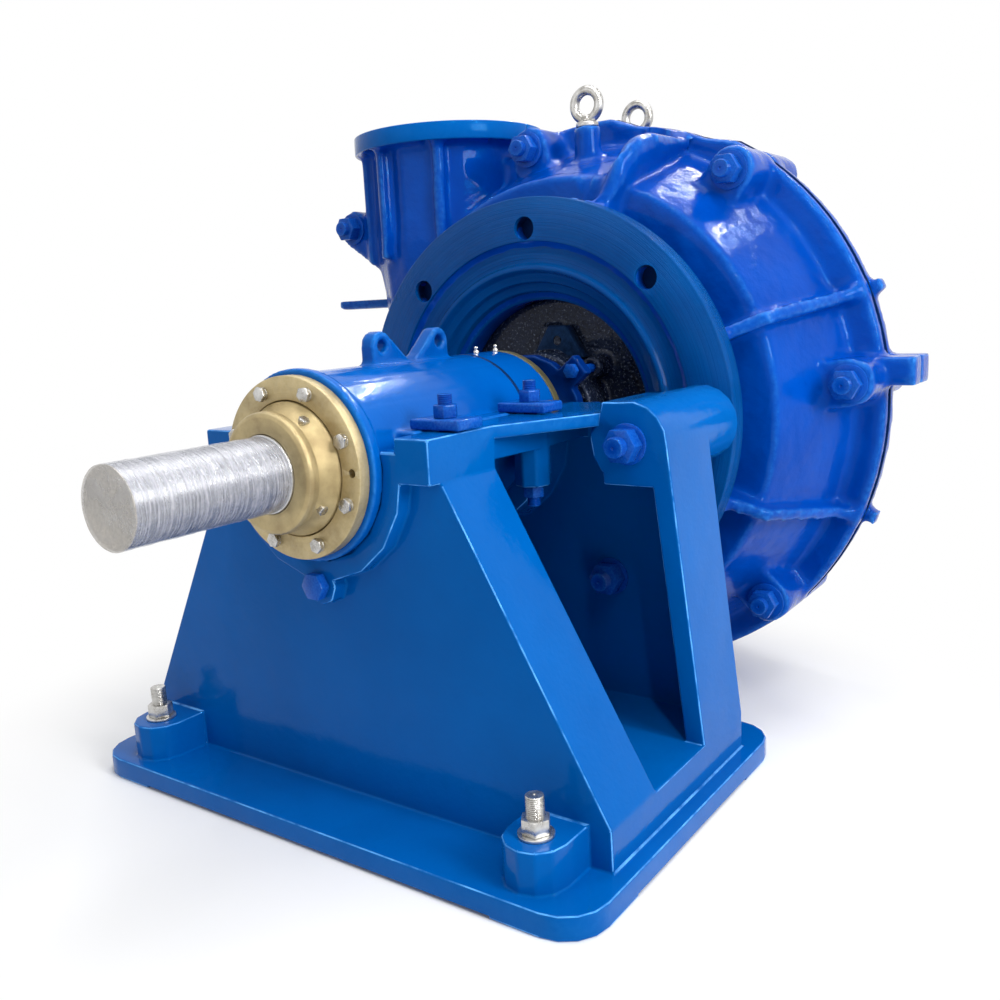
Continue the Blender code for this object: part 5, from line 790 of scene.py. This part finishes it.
def kept_inside(body, node):
    """Hold a softened body within its solid's own box."""
    low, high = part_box(node)
    for vert in body.verts:
        for axis in range(3):
            vert.co[axis] = min(high[axis], max(low[axis], vert.co[axis]))
    return body


def level(outline, depth):
    """The radius of an outline at a depth behind the ring's face."""
    for (near, low), (far, high) in zip(outline, outline[1:]):
        if depth <= far:
            return low + (high - low) * max(0.0, depth - near) / (far - near)
    return outline[-1][1]


def about_shaft(vert):
    """A vertex's radius and its angle about the shaft in degrees."""
    return math.hypot(vert.co.x, vert.co.z), math.degrees(math.atan2(vert.co.z, vert.co.x))


def put_round(vert, radius, turn):
    """Set a vertex at a radius and an angle about the shaft in degrees."""
    vert.co.x = radius * math.cos(math.radians(turn))
    vert.co.z = radius * math.sin(math.radians(turn))


def flattened_rim(body):
    """Draw the rim in a little where the nozzle's side runs into it."""
    for vert in body.verts:
        radius, turn = about_shaft(vert)
        away = abs(turn - WIDE_RIB_TURN) - RIM_FLAT_SPAN
        if radius > RIM_FOOT and away < RIM_FLAT_FADE:
            share = min(1.0, 1.0 - away / RIM_FLAT_FADE)
            depth = (radius - RIM_FOOT) / (RIM_RADIUS - RIM_FOOT)
            put_round(vert, radius * (1.0 - RIM_FLAT_DROP * share * min(1.0, depth)), turn)
    return body


def casing_body(node):
    """A casing half's solid with soft corners and a round shell."""
    return turned_round(cast_body(node, CASING_CELL, 2), CASING_STEPS, CASING_REACH, CASING_FADE)


front_half = casing_body("frame_plate")
shaped = []
for vert in front_half.verts:
    radius, turn = about_shaft(vert)
    depth = vert.co.y - RING_LOW
    if not RING_THICKNESS + RIB_START < depth < RIB_END or not RIB_RIGHT < turn < RIB_LEFT:
        continue
    shell, crest, top = level(SHELL_TOP, depth), level(CREST, depth), level(RIB_TOP, depth)
    if shell - RIB_SLACK < radius < crest + RIB_SLACK:
        shaped.append(vert)
    if turn > RIB_CUT:
        put_round(vert, min(radius, level(POCKET_FLOOR, depth)), turn)
    elif radius > shell:
        raised = min(shell + (radius - shell) * (crest - shell) / (top - shell), max(radius, crest))
        if radius < top + RIB_SLACK:
            raised = shell + (raised - shell) * min(1.0, (turn - RIB_RIGHT) / (RIB_FLANK - RIB_RIGHT)) ** 2
        put_round(vert, raised, turn - RIB_SHIFT * min(1.0, (raised - shell) / RIB_SOFT))
settled(front_half, shaped, RIB_SETTLE)
kept_inside(flattened_rim(front_half), "frame_plate")
front_half.normal_update()
for vert in front_half.verts:
    if about_shaft(vert)[0] < RING_RADIUS + 0.004 and vert.co.y < RING_LOW + RING_THICKNESS + 0.003:
        vert.co -= vert.normal * RING_UNDER
dress("front_casing", front_half, cast_paint, "casing_and_base", "frame_plate")
rear_half = casing_body("cover_plate")
for vert in rear_half.verts:
    radius, turn = about_shaft(vert)
    if radius > RIM_RADIUS and abs(turn - WIDE_RIB_TURN) < WIDE_RIB_SPAN:
        vert.co.x *= RIM_RADIUS / radius
        vert.co.z *= RIM_RADIUS / radius
flattened_rim(rear_half)
dress("rear_casing", kept_inside(rear_half, "cover_plate"), cast_paint, "casing_and_base", "cover_plate")
flange = bmesh.new()
gap = NOZZLE_GAP / NOZZLE_RADIUS
for side in (0.0, math.pi):
    half = bmesh.new()
    rim = [half.verts.new((NOZZLE_RADIUS - depth, 0.0, height)) for depth, height in (
        (0.0, NOZZLE_LOW), (0.0, NOZZLE_TOP), (NOZZLE_BAND, NOZZLE_TOP), (NOZZLE_BAND, NOZZLE_LOW))]
    rim_edges = [half.edges.new((rim[step], rim[(step + 1) % 4])) for step in range(4)]
    swung(half, side + gap, "Z")
    bmesh.ops.spin(half, geom=rim + rim_edges, cent=(0.0, 0.0, 0.0), axis=(0.0, 0.0, 1.0),
                   angle=math.pi - 2 * gap, steps=64)
    bmesh.ops.holes_fill(half, edges=[edge for edge in half.edges if edge.is_boundary], sides=0)
    bmesh.ops.recalc_face_normals(half, faces=half.faces)
    joined(flange, eased(half, 0.0022))
dress("discharge_rim", moved(flange, NOZZLE_PLACE), plate_paint, "casing_and_base")

ring = eased(turned_body([
    (RING_RADIUS - 0.03, RING_LOW + RING_THICKNESS), (RING_RADIUS, RING_LOW + RING_THICKNESS),
    (RING_RADIUS, RING_LOW), (RECESS_RADIUS, RING_LOW), (RECESS_RADIUS, RING_LOW + RECESS_DEPTH),
    (RING_INNER + 0.014, RING_LOW + RECESS_DEPTH), (RING_INNER + 0.01, RING_LOW + 0.3 * RECESS_DEPTH),
    (RING_INNER + 0.002, RING_LOW + 0.3 * RECESS_DEPTH), (RING_INNER - 0.004, RING_LOW + 1.6 * RECESS_DEPTH),
    (RING_INNER - 0.018, RING_LOW + 1.9 * RECESS_DEPTH), (RING_INNER - 0.021, RING_LOW + 3.0 * RECESS_DEPTH),
    (RING_INNER - 0.034, RING_LOW + 3.3 * RECESS_DEPTH), (RING_INNER - 0.037, RING_LOW + 4.4 * RECESS_DEPTH),
    (BORE_RADIUS, RING_LOW + BORE_START), (BORE_RADIUS + 0.01, RING_LOW + BORE_START + 0.002),
    (RING_INNER + 0.01, RING_LOW + 0.03), (RING_RADIUS - 0.03, RING_LOW + 0.034),
], 144), 0.0016, 20.0)
holes, hole_shade_linings = bmesh.new(), bmesh.new()
for index in range(8):
    place = on_circle(RING_HOLE_CIRCLE, math.tau * index / 8)
    joined(holes, drill(RING_HOLE_RADIUS, RING_LOW - 0.01, RING_LOW + 0.06, place))
    # Painted shade: a dark sleeve deep in each hole, where the hole's inside lies in shade.
    joined(hole_shade_linings, moved(turned_body([
        (0.0, RING_LOW + 0.024), (0.0192, RING_LOW + 0.024), (0.0192, RING_LOW + 0.008), (0.0203, RING_LOW + 0.008),
        (0.0203, RING_LOW + 0.026), (0.0, RING_LOW + 0.026),
    ], 32), place))
dress("casing_ring", drilled(ring, holes), turned_paint, "casing_and_base")
dress("ring_hole_painted_shade", hole_shade_linings, sealer_and_shade, "casing_and_base")

# Joint of the casing
# A dark sealed joint shows all round between the two halves.
# It is a thin ring just under the rim, drawn in with it beside the nozzle.
BAND_INNER, BAND_OUTER, BAND_HALF = RIM_RADIUS - 0.02, RIM_RADIUS - 0.0006, 0.0016
joint_band = eased(turned_body([
    (BAND_INNER, SPLIT_STATION - BAND_HALF), (BAND_OUTER, SPLIT_STATION - BAND_HALF),
    (BAND_OUTER, SPLIT_STATION + BAND_HALF), (BAND_INNER, SPLIT_STATION + BAND_HALF),
], 144), 0.0004)
flattened_rim(joint_band)
dress("casing_joint", joint_band, sealer_and_shade, "casing_and_base")

# Casing bolts, frame bolts and studs
# Steel studs with hexagon nuts and washers, painted over with the casing.
# Each is modelled between the ends of its node, with rolled threads on the part that stands out.
STUD_RADIUS, STUD_FLATS = 0.0148, 0.0455
SMALL_STUD_RADIUS, HOLD_NUT_FLATS, HOLD_WASHER = 0.0118, 0.0335, 0.023
STUD_SHARP = 28.0


def threaded(radius, start, end, pitch=0.0025, root=0.93):
    """Threaded bar along the shaft's line, with chamfered ends and a lathe centre in each."""
    ease, centre = 0.1 * radius, 0.18 * radius
    count = max(2, int((end - start - 2 * ease) / pitch))
    outline = [(0.0, start + centre), (centre, start), (radius - ease, start)]
    for index in range(count):
        station = start + ease + (end - start - 2 * ease) * index / count
        outline += [(radius, station), (radius, station + 0.3 * pitch), (radius * root, station + 0.6 * pitch)]
    outline += [(radius, end - ease), (radius - ease, end), (centre, end), (0.0, end - centre)]
    return turned_body(outline, 24)


def washer(outer, inner, start, end):
    """Flat ring with soft edges along the shaft's line."""
    return eased(turned_body([(inner, start), (outer, start), (outer, end), (inner, end)], 36), 0.0008)


def middle(node, axis):
    """The middle of a node's box, with nothing along the axis that its piece is already placed on."""
    low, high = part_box(node)
    place = (low + high) / 2
    place[axis] = 0.0
    return place


def dress_stud(name, body, carrier, node, axis, material=bolt_paint):
    """Make a stud that lies along an axis one piece at the middle of its node."""
    dress(name, moved(body, middle(node, axis)), material, carrier, node, sharp=STUD_SHARP)


def through_bolt(node, near, far, pad, thick, tails):
    """Stud between the ends of its node, with a nut and washer at each seat."""
    low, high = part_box(node)
    near_seat, far_seat = low.y + near, high.y - far
    return joined(threaded(STUD_RADIUS, low.y, high.y),
                  hexagon(STUD_FLATS, low.y + tails[0], near_seat - thick),
                  hexagon(STUD_FLATS, far_seat + thick, high.y - tails[1]),
                  washer(pad, STUD_RADIUS, near_seat - thick, near_seat),
                  washer(pad, STUD_RADIUS, far_seat, far_seat + thick))


for group, count, fit in (("casing", 8, (0.0413, 0.0413, 0.0328, 0.005, (0.012, 0.012))),
                          ("frame", 4, (0.0443, 0.0323, 0.0298, 0.004, (0.016, 0.008)))):
    for index in range(count):
        node = "%s_bolt_%d" % (group, index + 1)
        dress_stud("%s_stud_%d" % (group, index + 1), through_bolt(node, *fit), "casing_and_base", node, 1)

# Hold-down studs
# Bare plated studs with a plain washer, a nut and chamfered ends, one at each corner of the plinth.
HOLD_STAND, HOLD_NUT_HEIGHT, HOLD_WASHER_HEIGHT = 0.028, 0.02, 0.004
for index in range(4):
    node = "hold_down_bolt_%d" % (index + 1)
    low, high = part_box(node)
    nut_top = high.z - HOLD_STAND
    nut_bottom = nut_top - HOLD_NUT_HEIGHT
    body = joined(threaded(SMALL_STUD_RADIUS, low.z, high.z), hexagon(HOLD_NUT_FLATS, nut_bottom, nut_top),
                  washer(HOLD_WASHER, SMALL_STUD_RADIUS, nut_bottom - HOLD_WASHER_HEIGHT, nut_bottom))
    dress_stud("hold_down_stud_%d" % (index + 1), stood_up(body), "casing_and_base", node, 2, zinc)

# Eye bolts
# Forged lifting eyes with a collar, one screwed into a boss on top of each casing half.
EYE_WIRE, EYE_WIRE_STEPS, EYE_STEPS = 0.0088, 20, 64
for name in ("eye_bolt_front", "eye_bolt_rear"):
    low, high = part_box(name)
    reach = (high.x - low.x) / 2 - EYE_WIRE
    body = bmesh.new()
    loop = []
    for step in range(EYE_WIRE_STEPS):
        angle = math.tau * step / EYE_WIRE_STEPS
        loop.append(body.verts.new((reach + EYE_WIRE * math.cos(angle), 0.0, EYE_WIRE * math.sin(angle))))
    loop_edges = [body.edges.new(pair) for pair in zip(loop, loop[1:] + loop[:1])]
    bmesh.ops.spin(body, geom=loop + loop_edges, cent=(0.0, 0.0, 0.0), axis=(0.0, 0.0, 1.0), angle=math.tau,
                   steps=EYE_STEPS, use_merge=True)
    bmesh.ops.remove_doubles(body, verts=body.verts, dist=MERGE)
    bmesh.ops.recalc_face_normals(body, faces=body.faces)
    moved(stood_up(body), (0.0, 0.0, high.z - reach - EYE_WIRE))
    seat = low.z + 0.03
    stalk = eased(turned_body([(0.0, low.z), (0.0088, low.z), (0.0088, seat), (0.0208, seat), (0.0208, seat + 0.007),
                               (0.012, seat + 0.012), (0.01, seat + 0.02), (0.0, seat + 0.02)], 48), 0.0012)
    moved(joined(body, stood_up(stalk)), middle(name, 2))
    dress(name.replace("bolt", "forging"), body, zinc, "casing_and_base", name)

# Clamp washers and bolts
# Thick pads under painted bolts that hold the housing down in its cradle.
CLAMP_RADIUS, CLAMP_FLATS = 0.0098, 0.0296
for index in range(4):
    node = "clamp_washer_%d" % (index + 1)
    low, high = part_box(node)
    body = bmesh.new()
    bmesh.ops.create_cube(body, size=1.0)
    bmesh.ops.scale(body, vec=high - low, verts=body.verts)
    moved(body, (low + high) / 2)
    dress("clamp_pad_%d" % (index + 1), eased(body, 0.0028), bolt_paint, "casing_and_base", node)
    node = "clamp_bolt_%d" % (index + 1)
    low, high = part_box(node)
    body = joined(threaded(CLAMP_RADIUS, low.z, high.z), hexagon(CLAMP_FLATS, low.z + 0.014, low.z + 0.031),
                  hexagon(CLAMP_FLATS, high.z - 0.031, high.z - 0.014))
    dress_stud("clamp_stud_%d" % (index + 1), stood_up(body), "casing_and_base", node, 2)

# Adjusting screw
# A large hexagon screw below the housing that moves the bearings and the rotor along.
ADJUSTER_FLATS, ADJUSTER_COLLAR = 0.0355, 0.0198
low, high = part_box("adjusting_screw")
body = joined(threaded(SMALL_STUD_RADIUS, low.y + 0.01, high.y),
              hexagon(ADJUSTER_FLATS, low.y, low.y + 0.015, 0.0018),
              washer(ADJUSTER_COLLAR, 0.011, low.y + 0.0855, low.y + 0.091))
dress_stud("adjuster_screw", body, "adjuster", "adjusting_screw", 1)

# Stuffing box and gland
# A dark rough iron box in the casing's bore, with a lifting lug, and a gland in two halves that
# bolts press on the packing round the shaft sleeve. Their colours are darkened further as painted
# shade inside the bore, and the box's light flecks are painted glints.
BOX_CELL, BOX_REACH, BOX_FADE = 0.0036, 0.242, 0.004
GLAND_CELL, GLAND_BOLT_RADIUS, GLAND_BOLT_FLATS = 0.0024, 0.0078, 0.0236
LUG_TOP, LUG_FOOT = 0.158, 0.1
LUG_FACE, LUG_THICKNESS = RING_LOW + 0.0655, 0.023
LUG_OUTLINE = ((-0.038, LUG_FOOT), (-0.001, LUG_TOP), (0.037, LUG_TOP), (0.072, LUG_FOOT))
LUG_HOLE, LUG_HOLE_RADIUS = (0.018, 0.0, 0.131), 0.0085

# Painted shade: the iron is darkened for the bore's dim light, and its light flecks are painted glints.
dark_iron_shaded = finish("dark rough iron with painted shade and glints", (0.004, 0.007, 0.018, 1.0), (0.014, 0.022, 0.05, 1.0),
                   (0.06, 0.075, 0.11, 1.0), (0.14, 0.3), skin=(150.0, 55.0, 0.4, 0.008),
                   patch=16.0, speck=210.0, coat=0.25, tint=(0.45, 0.62, 1.0, 1.0), wear_and_glint_share=0.5,
                   speck_share=0.9, glint_fleck=(0.22, 0.26, 0.33, 1.0))
# Painted shade: the lug's iron is darkened for the bore's dim light.
lug_iron_shaded = finish("dark smooth iron with painted shade", (0.003, 0.008, 0.026, 1.0), (0.008, 0.02, 0.06, 1.0),
                  (0.02, 0.06, 0.16, 1.0), (0.3, 0.5), skin=(260.0, 40.0, 0.6, 0.0014), patch=12.0,
                  tint=(0.1, 0.4, 1.0, 1.0), wear_and_glint_share=0.8)
# Painted shade: the gland's blue paint is darkened because it lies in the bore's shade.
gland_paint_shaded = finish("paint on gland with painted shade", (0.0, 0.014, 0.11, 1.0), (0.0, 0.026, 0.19, 1.0),
                     (0.02, 0.11, 0.42, 1.0), (0.14, 0.3), skin=(300.0, 60.0, 0.7, 0.0012), patch=12.0,
                     coat=0.1, tint=GLOSS_TINT)
bare_iron = finish("bare wear iron", (0.12, 0.115, 0.105, 1.0), (0.3, 0.29, 0.27, 1.0),
                   (0.42, 0.41, 0.39, 1.0), (0.42, 0.66), metallic=0.7, skin=(260.0, 40.0, 0.5, 0.004),
                   patch=9.0, speck=140.0)
sleeve_steel = finish("polished sleeve", (0.38, 0.38, 0.38, 1.0), (0.56, 0.56, 0.56, 1.0),
                      (0.64, 0.64, 0.64, 1.0), (0.16, 0.3), metallic=1.0, marks=(300.0, 0.0002, 0.2),
                      skin=(1200.0, 90.0, 0.3, 0.0002))
stuffing_box = turned_round(cast_body("stuffing_box", BOX_CELL), CASING_STEPS, BOX_REACH, BOX_FADE)
dress("stuffing_casting", stuffing_box, dark_iron_shaded, "casing_and_base", "stuffing_box")
lug = bmesh.new()
lug_face = lug.faces.new([lug.verts.new((across, LUG_FACE, height)) for across, height in LUG_OUTLINE])
grown = bmesh.ops.extrude_face_region(lug, geom=[lug_face])
bmesh.ops.translate(lug, vec=(0.0, LUG_THICKNESS, 0.0),
                    verts=[item for item in grown["geom"] if isinstance(item, bmesh.types.BMVert)])
bmesh.ops.recalc_face_normals(lug, faces=lug.faces)
lug = drilled(eased(lug, 0.003), drill(LUG_HOLE_RADIUS, LUG_FACE - 0.01, LUG_FACE + LUG_THICKNESS + 0.01,
                                        LUG_HOLE))
dress("stuffing_lug", lug, lug_iron_shaded, "casing_and_base")
for half in ("upper", "lower"):
    dress("gland_half_" + half, cast_body("gland_" + half, GLAND_CELL), gland_paint_shaded, "gland", "gland_" + half)
for index in range(2):
    node = "gland_clamp_bolt_%d" % (index + 1)
    low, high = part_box(node)
    body = joined(threaded(GLAND_BOLT_RADIUS, low.z, high.z - 0.006),
                  hexagon(GLAND_BOLT_FLATS, low.z + 0.01, low.z + 0.023, 0.001),
                  hexagon(GLAND_BOLT_FLATS, high.z - 0.013, high.z, 0.001))
    dress_stud("gland_clamp_stud_%d" % (index + 1), stood_up(body), "gland", node, 2)
    node = "gland_bolt_%d" % (index + 1)
    low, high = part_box(node)
    body = joined(threaded(GLAND_BOLT_RADIUS, low.y + 0.006, high.y),
                  hexagon(GLAND_BOLT_FLATS, low.y, low.y + 0.01, 0.001))
    dress_stud("gland_screw_%d_bolt" % (index + 1), body, "gland_screw_%d" % (index + 1), node, 1)

# Wet end
# Hard white iron castings inside the casing: impeller, volute and side liners, seen through the
# suction and discharge openings.
IMPELLER_CELL, LINER_REACH, LINER_FADE = 0.0048, 0.2, 0.02
dress("impeller_casting", cast_body("impeller", IMPELLER_CELL), bare_iron, "rotor", "impeller")
for node, cell in (("volute_liner", 0.0068), ("throatbush", 0.0046), ("frame_plate_liner", 0.0056)):
    liner = turned_round(cast_body(node, cell), CASING_STEPS, LINER_REACH, LINER_FADE)
    dress(node + "_casting", liner, bare_iron, "casing_and_base", node)

# Packing, seals and the inner bearings
# Braided packing round the sleeve, rubber joint rings and the rolling bearings, all inside.
rubber = finish("black rubber", (0.01, 0.01, 0.011, 1.0), (0.024, 0.024, 0.026, 1.0), (0.04, 0.04, 0.042, 1.0),
                (0.5, 0.72), skin=(700.0, 60.0, 0.4, 0.001), patch=20.0)
braid = finish("braided packing", (0.09, 0.075, 0.045, 1.0), (0.21, 0.18, 0.11, 1.0),
               (0.3, 0.27, 0.18, 1.0), (0.8, 0.95), skin=(500.0, 240.0, 0.7, 0.003), patch=120.0)
for node, material in (("packing_ring_inner", braid), ("packing_ring_outer", braid), ("lantern_ring", tan_plate),
                       ("discharge_joint_ring", rubber), ("intake_joint_ring", rubber),
                       ("drive_bearing_outer_race", steel), ("drive_bearing_inner_race", steel),
                       ("drive_bearing_rollers", steel), ("pump_bearing_outer_race", steel),
                       ("pump_bearing_inner_race", steel), ("pump_bearing_rollers", steel),
                       ("drive_key", steel), ("pump_labyrinth", tan_plate), ("shaft_sleeve", sleeve_steel)):
    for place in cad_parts[node].material_slots:
        place.material = material
